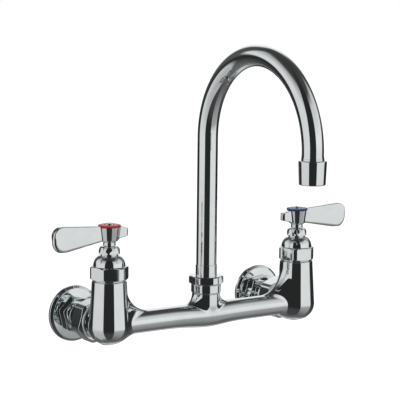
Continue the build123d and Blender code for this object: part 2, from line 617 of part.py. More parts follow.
def index_ring():
    """Coloured ring on the hub, notched round its upper edge."""
    ring_top = HUB_TOP + RING_THICKNESS
    ring = tube(RING_RADIUS, SCREW_HEAD_RADIUS + LOOSE_FIT, HUB_TOP, ring_top)
    ring = chamfer(circles_at(ring, RING_RADIUS, HUB_TOP), RING_CHAMFER)
    notch = Rot(0, 90, 0) * rod(NOTCH_RADIUS, NOTCH_START, RING_RADIUS + CUT_MARGIN)
    for step in range(RING_NOTCHES):
        turn = step * 360 / RING_NOTCHES
        ring -= Pos(0, 0, ring_top + NOTCH_RAISE) * Rot(0, 0, turn) * notch
    return ring


def handle_screw():
    """Domed screw that holds the lever on its stem."""
    edge_top = HUB_TOP + SCREW_HEAD_EDGE
    head_top = HUB_TOP + SCREW_HEAD_HEIGHT
    head = Polyline((0, HUB_TOP), (SCREW_HEAD_RADIUS, HUB_TOP), (SCREW_HEAD_RADIUS, edge_top))
    head += SagittaArc((SCREW_HEAD_RADIUS, edge_top), (SCREW_HEAD_FLAT, head_top),
                       -SCREW_HEAD_BULGE)
    head += Polyline((SCREW_HEAD_FLAT, head_top), (0, head_top), (0, HUB_TOP))
    screw = revolve(make_face(Plane.XZ * head), axis=Axis.Z)
    screw += rod(SCREW_SHANK_RADIUS, TANG_TOP - SCREW_HOLE_DEPTH + SCREW_POINT_GAP, HUB_TOP)
    slot = Box(SCREW_HEAD_RADIUS * 2, SCREW_SLOT, SCREW_SLOT * 2)
    return screw - Pos(0, 0, head_top) * slot


# ---- swivel joint ---------------------------------------------------------------
def spout_adapter():
    """Round collar between the boss and the spout nut, with a key socket in its floor."""
    collar = rod(POST_COLLAR_RADIUS, BOSS_TOP, POST_COLLAR_TOP)
    rims = circles_at(collar, POST_COLLAR_RADIUS, BOSS_TOP)
    rims += circles_at(collar, POST_COLLAR_RADIUS, POST_COLLAR_TOP)
    piece = fillet(rims, POST_COLLAR_EDGE)
    piece += rod(ADAPTER_THREAD_RADIUS, POST_FOOT, BOSS_TOP)
    piece += rod(POST_THREAD_RADIUS, POST_COLLAR_TOP, POST_TOP)
    socket = extrude(RegularPolygon(POST_SOCKET / 2, 6, major_radius=False),
                     amount=POST_TOP - POST_FOOT)
    piece -= Pos(0, 0, POST_FOOT) * socket
    return piece - rod(SHANK_RADIUS + RUNNING_FIT, POST_FOOT + POST_LEDGE, POST_TOP)


def swivel_washer():
    """Slippery washer between the adapter and the spout's flange."""
    return tube(POST_THREAD_RADIUS - SWIVEL_WASHER_MARGIN, SHANK_RADIUS + SWIVEL_WASHER_MARGIN,
                POST_TOP, POST_TOP + SWIVEL_WASHER)


def spout_shank():
    """Swivelling foot of the spout: grooved shank, flange, collar and spigot."""
    foot = POST_FOOT + POST_LEDGE + SHANK_FOOT_GAP
    spigot_top = COLLAR_TOP + TUBE_SPIGOT
    piece = rod(SHANK_RADIUS, foot, SHANK_FLANGE_LOW)
    piece += rod(SHANK_FLANGE_RADIUS, SHANK_FLANGE_LOW, SHANK_FLANGE_LOW + SHANK_FLANGE)
    piece += rod(COLLAR_RADIUS, SHANK_FLANGE_LOW, COLLAR_TOP)
    piece += rod(TUBE_RADIUS - TUBE_WALL - THREAD_FIT, COLLAR_TOP, spigot_top)
    piece = chamfer(circles_at(piece, COLLAR_RADIUS, COLLAR_TOP), COLLAR_CHAMFER)
    piece -= shaft_grooves(SHANK_RADIUS, SHANK_RING_HEIGHTS)
    return piece - rod(SHANK_BORE, foot, spigot_top)


def spout_nut():
    """Nut that keeps the spout's flange down and lets it turn."""
    low = POST_COLLAR_TOP + SPOUT_NUT_RAISE
    top = low + SPOUT_NUT_LENGTH
    nut = hex_bar(SPOUT_NUT_FLATS, SPOUT_NUT_CORNER, low, top, SPOUT_NUT_TURN)
    nut -= rod(COLLAR_RADIUS + RUNNING_FIT, low, top)
    return nut - rod(POST_THREAD_RADIUS + THREAD_FIT, low, top - SPOUT_NUT_LIP)


# ---- gooseneck and aerator ------------------------------------------------------
def spout_tube():
    """Bent tube: straight rise, half circle forward and a short drop."""
    radius = SPOUT_REACH / 2
    rise_top = (0, 0, ARC_CENTRE_HEIGHT)
    arc_end = (0, -SPOUT_REACH, ARC_CENTRE_HEIGHT)
    crown = (0, -radius, ARC_CENTRE_HEIGHT + radius)
    path = Line((0, 0, COLLAR_TOP), rise_top)
    path += ThreePointArc(rise_top, crown, arc_end)
    path += Line(arc_end, (0, -SPOUT_REACH, TUBE_END))
    ring = Circle(TUBE_RADIUS) - Circle(TUBE_RADIUS - TUBE_WALL)
    return sweep(Pos(0, 0, COLLAR_TOP) * ring, path=path)


def spout_tip():
    """Threaded end piece in the mouth of the tube."""
    piece = rod(TUBE_RADIUS - TUBE_WALL - THREAD_FIT, TUBE_END, TUBE_END + TIP_SPIGOT)
    collar = rod(COLLAR_RADIUS, TIP_COLLAR_LOW, TUBE_END)
    piece += chamfer(circles_at(collar, COLLAR_RADIUS, TUBE_END), COLLAR_CHAMFER)
    piece += rod(TIP_THREAD_RADIUS, TIP_END, TIP_COLLAR_LOW)
    return piece - rod(TIP_BORE, TIP_END, TUBE_END + TIP_SPIGOT)


def aerator_housing():
    """Tapered chrome shell that screws onto the tip."""
    top = TIP_COLLAR_LOW - SEAT_GAP
    low = top - AERATOR_LENGTH
    shell = turned((0, low), (AERATOR_END_RADIUS, low), (AERATOR_TOP_RADIUS, top), (0, top))
    rims = circles_at(shell, AERATOR_END_RADIUS, low) + circles_at(shell, AERATOR_TOP_RADIUS, top)
    shell = fillet(rims, AERATOR_EDGE)
    shell -= rod(AERATOR_MOUTH, low, top)
    return shell - rod(TIP_THREAD_RADIUS + THREAD_FIT, top - AERATOR_THREAD_DEPTH, top)


def aerator_washer():
    """Rubber washer between the tip and the insert."""
    return tube(TIP_THREAD_RADIUS, AERATOR_WASHER_BORE, INSERT_TOP, TIP_END)


def hole_pattern(radius, pitch, limit, low, high):
    """Round holes on a hexagonal grid inside a circle."""
    rows = int(limit / pitch) + 1
    holes = []
    for row in range(-rows, rows + 1):
        for column in range(-rows, rows + 1):
            x = (column + 0.5 * (row % 2)) * pitch
            y = row * pitch * math.sqrt(3) / 2
            if math.hypot(x, y) < limit:
                holes.append(Pos(x, y, 0) * rod(radius, low, high))
    return holes


def aerator_insert():
    """Plastic flow straightener with a flange under the washer."""
    body_top = INSERT_TOP - INSERT_FLANGE
    body_low = body_top - INSERT_LENGTH
    outside = AERATOR_MOUTH - RUNNING_FIT
    bowl = outside - INSERT_WALL
    insert = rod(TIP_THREAD_RADIUS, body_top, INSERT_TOP) + rod(outside, body_low, INSERT_TOP)
    insert -= rod(bowl, body_low, body_top - INSERT_PLATE)
    insert -= rod(bowl, body_top, INSERT_TOP)
    for hole in hole_pattern(INSERT_HOLE, INSERT_PITCH, bowl - INSERT_HOLE, body_low, INSERT_TOP):
        insert -= hole
    return insert


def aerator_screen():
    """Pierced metal disc in the insert's mouth."""
    low = INSERT_TOP - INSERT_FLANGE - INSERT_LENGTH + SCREEN_RAISE
    high = low + SCREEN_THICKNESS
    radius = AERATOR_MOUTH - RUNNING_FIT * 2 - INSERT_WALL
    screen = rod(radius, low, high)
    for hole in hole_pattern(SCREEN_HOLE, SCREEN_PITCH, radius - SCREEN_HOLE, low, high):
        screen -= hole
    return screen


# ---- assembly -------------------------------------------------------------------
write("faucet_body", faucet_body())

for side, sign in SIDES.items():
    x = sign * HALF_CENTRES
    write(side + "_wall_flange", on_inlet(wall_flange(), side))
    write(side + "_inlet_adapter", on_inlet(inlet_adapter(ADAPTER_TURN[side]), side))
    write(side + "_union_nut", on_inlet(union_nut(UNION_TURN[side]), side))
    write(side + "_union_washer", on_inlet(union_washer(), side))
    write(side + "_seat_seal", on_post(seat_seal(), x))
    write(side + "_fixed_disc", on_post(fixed_disc(), x))
    write(side + "_moving_disc", on_post(moving_disc(), x))
    write(side + "_cartridge_body", on_post(cartridge_body(), x))
    write(side + "_stem", on_post(stem(), x))
    write(side + "_stem_rings", on_post(groove_rings(STEM_RADIUS, STEM_RING_HEIGHTS), x))
    write(side + "_bonnet_nut", on_post(bonnet_nut(BONNET_TURN[side]), x))
    write(side + "_packing_ring", on_post(packing_ring(), x))
    write(side + "_packing_nut", on_post(packing_nut(PACKING_TURN[side]), x))
    write(side + "_lever_handle", on_post(lever_handle(side), x))
    write(side + "_index_ring", on_post(index_ring(), x))
    write(side + "_handle_screw", on_post(handle_screw(), x))

write("spout_adapter", on_post(spout_adapter(), 0))
write("swivel_washer", on_post(swivel_washer(), 0))
write("spout_nut", on_post(spout_nut(), 0))
write("spout_shank", on_post(spout_shank(), 0))
write("spout_rings", on_post(groove_rings(SHANK_RADIUS, SHANK_RING_HEIGHTS), 0))
write("spout_tube", on_post(spout_tube(), 0))

outlet = Pos(0, -COLUMN_STANDOFF - SPOUT_REACH, 0)
write("spout_tip", outlet * spout_tip())
write("aerator_housing", outlet * aerator_housing())
write("aerator_washer", outlet * aerator_washer())
write("aerator_insert", outlet * aerator_insert())
write("aerator_screen", outlet * aerator_screen())
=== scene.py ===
import json
import math

import bmesh
import bpy
import numpy as np
import openvdb
from mathutils import Matrix, Vector


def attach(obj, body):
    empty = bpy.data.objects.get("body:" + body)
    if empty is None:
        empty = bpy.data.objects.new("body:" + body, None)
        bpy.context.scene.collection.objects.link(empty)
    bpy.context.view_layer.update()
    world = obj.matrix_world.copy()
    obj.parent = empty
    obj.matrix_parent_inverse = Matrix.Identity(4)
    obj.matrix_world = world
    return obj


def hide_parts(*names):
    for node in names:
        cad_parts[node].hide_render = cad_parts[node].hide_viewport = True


# Chrome wall faucet. The object's lengths are millimetres in its own frame, heights
# count from the inlet axis, and MM brings them to metres when a mesh is made. Floor and
# room are in metres.
MM = 0.001

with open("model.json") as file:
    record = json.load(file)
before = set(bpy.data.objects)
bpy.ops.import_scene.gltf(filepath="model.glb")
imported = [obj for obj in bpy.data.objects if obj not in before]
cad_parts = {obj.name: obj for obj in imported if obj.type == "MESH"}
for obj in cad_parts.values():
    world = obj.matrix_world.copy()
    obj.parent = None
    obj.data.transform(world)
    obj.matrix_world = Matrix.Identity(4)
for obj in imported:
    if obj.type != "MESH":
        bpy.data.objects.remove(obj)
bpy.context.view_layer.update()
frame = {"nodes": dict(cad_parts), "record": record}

# ---- camera: angles in degrees, lengths in millimetres ----------------------------
CAMERA_AZIMUTH = -34.0
CAMERA_PITCH = 7.967
CAMERA_ROLL = 0.638
CAMERA_DISTANCE = 1470.1
CAMERA_TARGET = (-7.617, -62.976, 103.897)
CAMERA_LENS = 148.09
SENSOR_WIDTH = 36.0

# ---- layout ----------------------------------------------------------------------
HALF_CENTRES = 101.6
STANDOFF = 63.0
REACH = 152.4
ARC_CENTRE = 160.0
SIDES = {"hot": -1, "cold": 1}

# ---- cast body -------------------------------------------------------------------
COLUMN_RADIUS = 17.6
COLUMN_TOP_RADIUS = 15.2
COLUMN_TOP = 40.4
COLUMN_CHAMFER = 1.2
COLUMN_BOTTOM = 15.9
COLUMN_ROUND = 16.0
BAR_RADIUS = 9.9
BAR_SWELL = 2.4
BAR_SWELL_REACH = 22.0
BOSS_RADIUS = 12.7
BOSS_WAIST = 0.8               # how much slimmer the boss is at its foot
BOSS_WAIST_TOP = 10.0
BOSS_WAIST_HEIGHT = 9.0
BOSS_BELLY = 1.6               # how fast the boss closes below the axis
BOSS_TOP = 19.7
BOSS_EDGE = 0.8
ARM_RADIUS = 15.0
ARM_END = 45.5                 # distance of the arms' shoulders from the wall
SADDLE_TOP = 24.0              # fillet radii between the bar and a column
SADDLE_SIDE = 4.0
SADDLE_UNDER = 10.0
SADDLE_EASE = 1.5              # how late the top's fillet sets in round the bar
BOSS_SADDLE = 10.5             # fillet radii between the bar and the boss
BOSS_FRONT = 1.2
BOSS_EASE = 1.3
ARM_FILLET = 4.0
BODY_VOXEL = 0.75

# ---- hexes: across flats, corner radius, and how far they stand turned ------------
BONNET_HEX = (31.0, 17.0)
PACKING_HEX = (17.8, 9.8)
POST_SOCKET = (12.7, 7.3)
SPOUT_NUT_HEX = (29.0, 15.6)
ADAPTER_HEX = (31.0, 17.3)
UNION_HEX = (35.0, 19.4)
BONNET_TURN = {"hot": 43.0, "cold": 48.0}
PACKING_TURN = {"hot": 53.0, "cold": 52.0}
ADAPTER_TURN = {"hot": -16.0, "cold": 10.0}
UNION_TURN = {"hot": 15.0, "cold": 20.0}
SPOUT_NUT_TURN = 29.5
HEX_BLEND = 0.5                # how softly a flat runs into a corner
HEX_CROWN = 0.15               # bulge that polishing leaves on a flat
BEVEL_SLOPE = math.tan(math.radians(30))

# ---- lever -----------------------------------------------------------------------
HUB_BOTTOM = 70.6
HUB_TOP = 86.9
LEVER_LENGTH = 56.0
LEVER_THICKNESS = 6.2
LEVER_VOXEL = 0.4

# ---- gooseneck -------------------------------------------------------------------
TUBE_RADIUS = 9.15
TUBE_BORE = 8.0
TUBE_LOW = 45.2
TUBE_END = 156.2


# ---- meshes ----------------------------------------------------------------------
def shaped(name, patch, body, nodes, material):
    """One visible piece from points, faces and exact normals."""
    points, faces, normals = patch
    mesh = bpy.data.meshes.new(name)
    mesh.from_pydata((points * MM).tolist(), [], [list(map(int, face)) for face in faces])
    mesh.polygons.foreach_set("use_smooth", [True] * len(mesh.polygons))
    lengths = np.linalg.norm(normals, axis=1, keepdims=True)
    mesh.normals_split_custom_set_from_vertices((normals / np.maximum(lengths, 1e-9)).tolist())
    mesh.materials.append(material)
    piece = bpy.data.objects.new(name, mesh)
    bpy.context.scene.collection.objects.link(piece)
    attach(piece, body)
    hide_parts(*nodes)
    return piece


def moved(patch, matrix):
    """A patch under a rigid turn, mirror and shift."""
    turn = np.array(matrix.to_3x3())
    points = patch[0] @ turn.T + np.array(matrix.translation)
    faces = patch[1]
    if np.linalg.det(turn) < 0:
        faces = [list(reversed(face)) for face in faces]
    return points, faces, patch[2] @ turn.T


def on_post(patch, x):
    """Stand a patch made about Z on the axis at x."""
    return moved(patch, Matrix.Translation((x, -STANDOFF, 0)))


def on_inlet(patch, side):
    """Lay a patch made about Z along an inlet, its heights counted from the wall."""
    place = Matrix.Translation((SIDES[side] * HALF_CENTRES, 0, 0))
    return moved(patch, place @ Matrix.Rotation(math.radians(90), 4, "X"))


def rounded_path(corners, radii, closed, steps):
    """Points and tangents along outlines whose corners are rounded by arcs."""
    corners = np.asarray(corners, float)
    radii = np.broadcast_to(np.asarray(radii, float), corners.shape[:-1])
    before = corners - np.roll(corners, 1, axis=-2)
    after = np.roll(corners, -1, axis=-2) - corners
    length_before = np.maximum(np.linalg.norm(before, axis=-1), 1e-9)
    length_after = np.maximum(np.linalg.norm(after, axis=-1), 1e-9)
    heading = before / length_before[..., None]
    leaving = after / length_after[..., None]
    cross = heading[..., 0] * leaving[..., 1] - heading[..., 1] * leaving[..., 0]
    turn = np.arctan2(cross, (heading * leaving).sum(-1))
    half = np.maximum(np.tan(np.abs(turn) / 2), 1e-9)
    reach = radii * half
    if not closed:
        reach = reach.copy()
        reach[..., 0] = 0
        reach[..., -1] = 0
    share = np.minimum(1, 0.98 * length_after / np.maximum(reach + np.roll(reach, -1, -1), 1e-9))
    reach = reach * np.minimum(share, np.roll(share, 1, -1))
    radius = (reach / half)[..., None]
    start = corners - heading * reach[..., None]
    side = np.stack([-heading[..., 1], heading[..., 0]], -1) * np.sign(turn)[..., None]
    points, tangents = [], []
    for step in range(steps + 1):
        angle = (np.abs(turn) * step / steps)[..., None]
        points.append(start + radius * (np.sin(angle) * heading + (1 - np.cos(angle)) * side))
        tangents.append(np.cos(angle) * heading + np.sin(angle) * side)
    points = np.stack(points, -2)
    tangents = np.stack(tangents, -2)
    if closed:
        shape = points.shape[:-3] + (-1, 2)
        return points.reshape(shape), tangents.reshape(shape)
    inner = points[..., 1:-1, :, :]
    inner = inner.reshape(inner.shape[:-3] + (-1, 2))
    inner_tangents = tangents[..., 1:-1, :, :].reshape(inner.shape)
    points = np.concatenate([corners[..., :1, :], inner, corners[..., -1:, :]], -2)
    tangents = np.concatenate([leaving[..., :1, :], inner_tangents, heading[..., -1:, :]], -2)
    return points, tangents


def turned(corners, radii, phi=None, steps=5, closed=True):
    """Solid turned about Z. The corners (radius, height) may depend on the angle."""
    if phi is None:
        phi = np.linspace(0, 2 * math.pi, 128, endpoint=False)

    def outline(angles):
        spread = corners(angles) if callable(corners) else corners
        spread = np.broadcast_to(np.asarray(spread, float), (len(angles),) + np.shape(spread)[-2:])
        return rounded_path(spread, radii, closed, steps)

    def placed(angles):
        path, tangent = outline(angles)
        cosine, sine = np.cos(angles)[:, None], np.sin(angles)[:, None]
        spots = np.stack([path[..., 0] * cosine, path[..., 0] * sine, path[..., 1]], -1)
        along = np.stack([tangent[..., 0] * cosine, tangent[..., 0] * sine, tangent[..., 1]], -1)
        return spots, along

    step = 1e-4
    points, along = placed(phi)
    around = (placed(phi + step)[0] - placed(phi - step)[0]) / (2 * step)
    cosine, sine = np.cos(phi)[:, None], np.sin(phi)[:, None]
    plain = np.stack([-sine, cosine, np.zeros_like(sine)], -1)
    tiny = np.linalg.norm(around, axis=-1, keepdims=True) < 1e-6
    around = np.where(tiny, plain, around)
    normals = np.cross(around, along)
    turns, count = points.shape[:2]
    faces = []
    for row in range(turns):
        following = (row + 1) % turns
        for index in range(count if closed else count - 1):
            ahead = (index + 1) % count
            faces.append([row * count + index, following * count + index,
                          following * count + ahead, row * count + ahead])
    return points.reshape(-1, 3), faces, normals.reshape(-1, 3)


def hex_angles(turn):
    """Angles round a hex, closer together at its corners."""
    per_side = 26
    share = np.arange(per_side) / per_side
    share = share - 0.62 * np.sin(2 * math.pi * share) / (2 * math.pi)
    sides = [math.radians(turn) + (side + share) * math.pi / 3 for side in range(6)]
    return np.concatenate(sides)


def smooth_least(a, b, width):
    """The lesser of two values, blended where they are close."""
    overlap = np.maximum(width - np.abs(a - b), 0) / width
    return np.minimum(a, b) - overlap ** 2 * width / 4


def hex_radius(angles, size, turn):
    """Distance from the axis to the side of a hex with turned corners."""
    flats, corner = size
    off = (angles - math.radians(turn)) % (math.pi / 3) - math.pi / 6
    crown = HEX_CROWN * (1 - (6 * off / math.pi) ** 2)
    return smooth_least(flats / 2 / np.cos(off) + crown, corner, HEX_BLEND)


def spread_corners(angles, *pairs):
    """Corner list for every angle; a radius or height may itself vary with the angle."""
    table = np.empty((len(angles), len(pairs), 2))
    for index, (radius, height) in enumerate(pairs):
        table[:, index, 0] = radius
        table[:, index, 1] = height
    return table


# ---- forms from distance fields ---------------------------------------------------
def round_union(a, b, radius):
    """Two fields joined with a fillet."""
    inner = np.maximum(radius, np.minimum(a, b))
    return inner - np.hypot(np.maximum(radius - a, 0), np.maximum(radius - b, 0))


def round_meet(a, b, radius):
    """What two fields share, with a rounded edge."""
    outer = np.minimum(-radius, np.maximum(a, b))
    return outer + np.hypot(np.maximum(radius + a, 0), np.maximum(radius + b, 0))


def slope(field, points):
    """Gradient of a field at points."""
    step = 0.01
    parts = []
    for axis in range(3):
        shift = np.zeros(3)
        shift[axis] = step
        ahead, behind = points + shift, points - shift
        parts.append((field(*ahead.T) - field(*behind.T)) / (2 * step))
    return np.stack(parts, -1)


def mesh_field(field, low, high, voxel):
    """Closed quad mesh of a field's surface, its points drawn exactly onto it."""
    low, high = np.array(low, float), np.array(high, float)
    counts = np.ceil((high - low) / voxel).astype(int) + 1
    axes = [low[axis] + voxel * np.arange(counts[axis]) for axis in range(3)]
    band = 3 * voxel
    values = field(*np.meshgrid(*axes, indexing="ij"))
    grid = openvdb.FloatGrid(band)
    grid.copyFromArray(np.clip(values, -band, band).astype(np.float32))
    grid.transform = openvdb.createLinearTransform(voxelSize=voxel)
    points, quads = grid.convertToQuads(isovalue=0.0)[:2]
    points = points.astype(float) + low
    for _ in range(4):
        gradient = slope(field, points)
        size = np.maximum((gradient ** 2).sum(1), 0.05)
        move = field(*points.T)[:, None] * gradient / size[:, None]
        points = points - np.clip(move, -voxel / 2, voxel / 2)
    normals = slope(field, points)
    quads = np.asarray(quads, int)
    corners = [points[quads[:, index]] for index in range(4)]
    across = np.cross(corners[2] - corners[0], corners[3] - corners[1])
    if (across * normals[quads[:, 0]]).sum(1).mean() < 0:
        quads = quads[:, ::-1]
    return points, quads.tolist(), normals


# ---- cast body -------------------------------------------------------------------
def body_field(x, y, z):
    """Distance to the outside of the casting."""
    depth = y + STANDOFF
    away = np.abs(x)
    swell = BAR_SWELL * np.exp(-(away / BAR_SWELL_REACH) ** 2)
    half_width = BAR_RADIUS + swell
    half_height = np.where(z < 0, BAR_RADIUS + swell, BAR_RADIUS)
    first = np.hypot(depth / half_width, z / half_height)
    second = np.hypot(depth / half_width ** 2, z / half_height ** 2)
    bar = first * (first - 1) / np.maximum(second, 1e-6)
    bar = np.maximum(bar, away - HALF_CENTRES)

    around = np.hypot(depth, z) + 1e-6
    up = np.clip(z / around, 0, 1) ** 2
    down = np.clip(-z / around, 0, 1) ** 2
    radius = BOSS_RADIUS - BOSS_WAIST * np.clip((BOSS_WAIST_TOP - z) / BOSS_WAIST_HEIGHT, 0, 1) ** 2
    boss = np.sqrt(x ** 2 + depth ** 2 + BOSS_BELLY * np.minimum(z, 0) ** 2) - radius
    body = round_union(bar, boss, BOSS_FRONT + (BOSS_SADDLE - BOSS_FRONT) * up ** BOSS_EASE)

    from_axis = np.hypot(away - HALF_CENTRES, depth)
    taper = (COLUMN_RADIUS - COLUMN_TOP_RADIUS) / (COLUMN_TOP - COLUMN_CHAMFER)
    column = (from_axis - COLUMN_RADIUS + taper * z) / math.hypot(1, taper)
    column = round_meet(column, -COLUMN_BOTTOM - z, COLUMN_ROUND)
    arm = np.hypot(away - HALF_CENTRES, z) - ARM_RADIUS
    arm = np.maximum(arm, -depth)
    column = round_union(column, arm, ARM_FILLET)
    facing = np.clip((HALF_CENTRES - away) / (from_axis + 1e-6), 0, 1)
    fillet = SADDLE_SIDE + (SADDLE_TOP - SADDLE_SIDE) * up ** SADDLE_EASE * facing
    fillet = fillet + (SADDLE_UNDER - SADDLE_SIDE) * down ** 2
    return round_union(body, column, fillet)


def square_end(work, stored, centre, axis, level, reach, outline):
    """Cut a mesh off square across an axis and close it along a rounded outline."""
    centre, axis = Vector(centre), Vector(axis)

    def near(vertex):
        offset = vertex.co - centre
        height = offset.dot(axis)
        return height > level - 4 and (offset - axis * height).length < reach

    picked = [face for face in work.faces if all(near(vertex) for vertex in face.verts)]
    # A dict keeps its order, so the cut numbers its points alike in every run.
    parts = dict.fromkeys(picked)
    parts.update(dict.fromkeys(edge for face in picked for edge in face.edges))
    parts.update(dict.fromkeys(vertex for face in picked for vertex in face.verts))
    cut = bmesh.ops.bisect_plane(work, geom=list(parts), plane_co=centre + axis * level,
                                 plane_no=axis, clear_outer=True)
    rim = [item for item in cut["geom_cut"] if isinstance(item, bmesh.types.BMVert)]
    side = axis.orthogonal().normalized()
    other = axis.cross(side)

    def angle(vertex):
        offset = vertex.co - centre
        return math.atan2(offset.dot(other), offset.dot(side))

    rim.sort(key=angle)
    outward = []
    for vertex in rim:
        gradient = Vector(slope(body_field, np.array([vertex.co]))[0]).normalized()
        vertex[stored] = gradient
        flat = gradient - axis * gradient.dot(axis)
        outward.append(flat.normalized())
    path, tangents = rounded_path(outline, COLUMN_CHAMFER / 3, False, 4)
    ring = rim
    for spot, tangent in zip(path[1:], tangents[1:]):
        following = []
        for start, out in zip(rim, outward):
            vertex = work.verts.new(start.co + out * spot[0] + axis * spot[1])
            vertex[stored] = out * tangent[1] - axis * tangent[0]
            following.append(vertex)
        for index in range(len(rim)):
            ahead = (index + 1) % len(rim)
            work.faces.new([ring[index], ring[ahead], following[ahead], following[index]])
        ring = following
    work.faces.new(ring)


def faucet_body():
    """Bridge casting: bar, columns, spout boss and inlet arms."""
    edge = HALF_CENTRES + COLUMN_RADIUS + 2
    low = (-edge, -STANDOFF - COLUMN_RADIUS - 2, -COLUMN_BOTTOM - 2)
    high = (edge, -ARM_END + 5, COLUMN_TOP + 4)
    points, faces, normals = mesh_field(body_field, low, high, BODY_VOXEL)
    work = bmesh.new()
    stored = work.verts.layers.float_vector.new("aim")
    vertices = [work.verts.new(point) for point in points]
    for vertex, normal in zip(vertices, normals):
        vertex[stored] = normal
    for face in faces:
        work.faces.new([vertices[index] for index in face])
    chamfer, skirt = COLUMN_CHAMFER, 0.3
    lip = [(0, 0), (0, skirt), (-chamfer, skirt + chamfer), (-2.6, skirt + chamfer), (-2.6, -8)]
    for sign in SIDES.values():
        square_end(work, stored, (sign * HALF_CENTRES, -STANDOFF, 0), (0, 0, 1),
                   COLUMN_TOP - chamfer - skirt, COLUMN_RADIUS + 4, lip)
        shoulder = [(0, 0), (0, 0.3), (-0.6, 0.9), (-1.0, 0.9), (-1.0, 14), (-6, 14), (-6, -4)]
        square_end(work, stored, (sign * HALF_CENTRES, 0, 0), (0, 1, 0), -ARM_END - 0.9,
                   ARM_RADIUS + 4, shoulder)
    top = [(0, 0), (0, 0.2), (-BOSS_EDGE, 0.2 + BOSS_EDGE), (-3, 0.2 + BOSS_EDGE), (-3, -6)]
    square_end(work, stored, (0, -STANDOFF, 0), (0, 0, 1), BOSS_TOP - BOSS_EDGE - 0.2,
               BOSS_RADIUS + 4, top)
    work.verts.ensure_lookup_table()
    work.verts.index_update()
    points = np.array([vertex.co for vertex in work.verts])
    normals = np.array([vertex[stored] for vertex in work.verts])
    faces = [[vertex.index for vertex in face.verts] for face in work.faces]
    work.free()
    return points, faces, normals


# ---- wall union, heights counted from the wall --------------------------------------
FLANGE_RADIUS = 25.4
FLANGE_BORE = 13.6
FLANGE_TOP = 5.0               # the adapter's hex starts here
INLET_RADIUS = 10.4
INLET_DEPTH = 13.0
SPIGOT_RADIUS = 13.4           # the adapter inside the flange
ADAPTER_INSET = 0.35           # how far a hex's end faces stop short of its flats
ADAPTER_HEX_END = 13.6
NECK_RADIUS = 11.4
COLLAR_RADIUS = 13.6           # collar that the union nut pulls on
COLLAR_START = 30.6
COLLAR_END = 33.2
WATERWAY_RADIUS = 8.0
UNION_INSET = 0.6
UNION_BORE = 11.6
UNION_HOLLOW = 14.2
UNION_START = 28.0
UNION_SHELF = 30.5
UNION_END = 44.0


def hex_band(angles, size, turn, inset):
    """Radius of a hex's end faces, of its sides, and the height of its bevel."""
    face = size[0] / 2 - inset
    radius = hex_radius(angles, size, turn)
    return face, radius, (radius - face) * BEVEL_SLOPE


def wall_flange():
    """Domed sheet flange."""
    outline = [(FLANGE_BORE, FLANGE_TOP), (FLANGE_BORE, 3.9), (15.4, 3.9), (24.2, 0.9), (24.3, 0),
               (FLANGE_RADIUS, 0), (FLANGE_RADIUS, 2.3), (22.9, 4.2), (15.2, FLANGE_TOP)]
    return turned(outline, [0.2, 0.2, 0.5, 0.3, 0.1, 0.2, 0.9, 2.4, 0.4], steps=7)


def inlet_adapter(turn):
    """Hex, neck and collared tail in one piece."""
    def corners(angles):
        face, radius, bevel = hex_band(angles, ADAPTER_HEX, turn, ADAPTER_INSET)
        return spread_corners(angles, (INLET_RADIUS, 0), (SPIGOT_RADIUS, 0),
                              (SPIGOT_RADIUS, FLANGE_TOP), (face, FLANGE_TOP),
                              (radius, FLANGE_TOP + bevel), (radius, ADAPTER_HEX_END - bevel),
                              (face, ADAPTER_HEX_END), (NECK_RADIUS, ADAPTER_HEX_END),
                              (NECK_RADIUS, COLLAR_START), (COLLAR_RADIUS, COLLAR_START),
                              (COLLAR_RADIUS, COLLAR_END), (WATERWAY_RADIUS, COLLAR_END),
                              (WATERWAY_RADIUS, INLET_DEPTH), (INLET_RADIUS, INLET_DEPTH))
    radii = [0.3, 0.2, 0.2, 0.35, 0.5, 0.5, 0.35, 0.6, 0.2, 0.3, 0.3, 0.3, 0.3, 0.3]
    return turned(corners, radii, hex_angles(turn))


def union_nut(turn):
    """Large hex nut of the union."""
    def corners(angles):
        face, radius, bevel = hex_band(angles, UNION_HEX, turn, UNION_INSET)
        return spread_corners(angles, (UNION_BORE, UNION_START), (face, UNION_START),
                              (radius, UNION_START + bevel), (radius, UNION_END - bevel),
                              (face, UNION_END), (UNION_HOLLOW, UNION_END),
                              (UNION_HOLLOW, UNION_SHELF), (UNION_BORE, UNION_SHELF))
    return turned(corners, [0.4, 0.5, 0.6, 0.6, 0.5, 0.4, 0.2, 0.2], hex_angles(turn))


# ---- valve -----------------------------------------------------------------------
BONNET_INSET = 0.3
BONNET_FOOT = 30.0
BONNET_THREAD = 12.6
CARTRIDGE_RADIUS = 9.3
CARTRIDGE_TOP = 48.0
SKIRT_RADIUS = 14.5
SKIRT_FOOT = 40.5
BONNET_HEX_START = 41.1
BONNET_HEX_END = 52.8
DOME_TOP = 62.1
THROAT_RADIUS = 7.7            # short neck between the dome and the packing nut
BONNET_TOP = 63.4
PACKING_ROOM = 6.1
PACKING_FLOOR = 56.0
STEM_HOLE = 4.4
PACKING_INSET = 0.25
PACKING_FOOT = 59.1
PACKING_THREAD = 6.0
PACKING_SHOULDER = 68.1
PACKING_FALL = 3.8             # how steeply the shoulder drops towards the corners
PACKING_TOP = 70.3


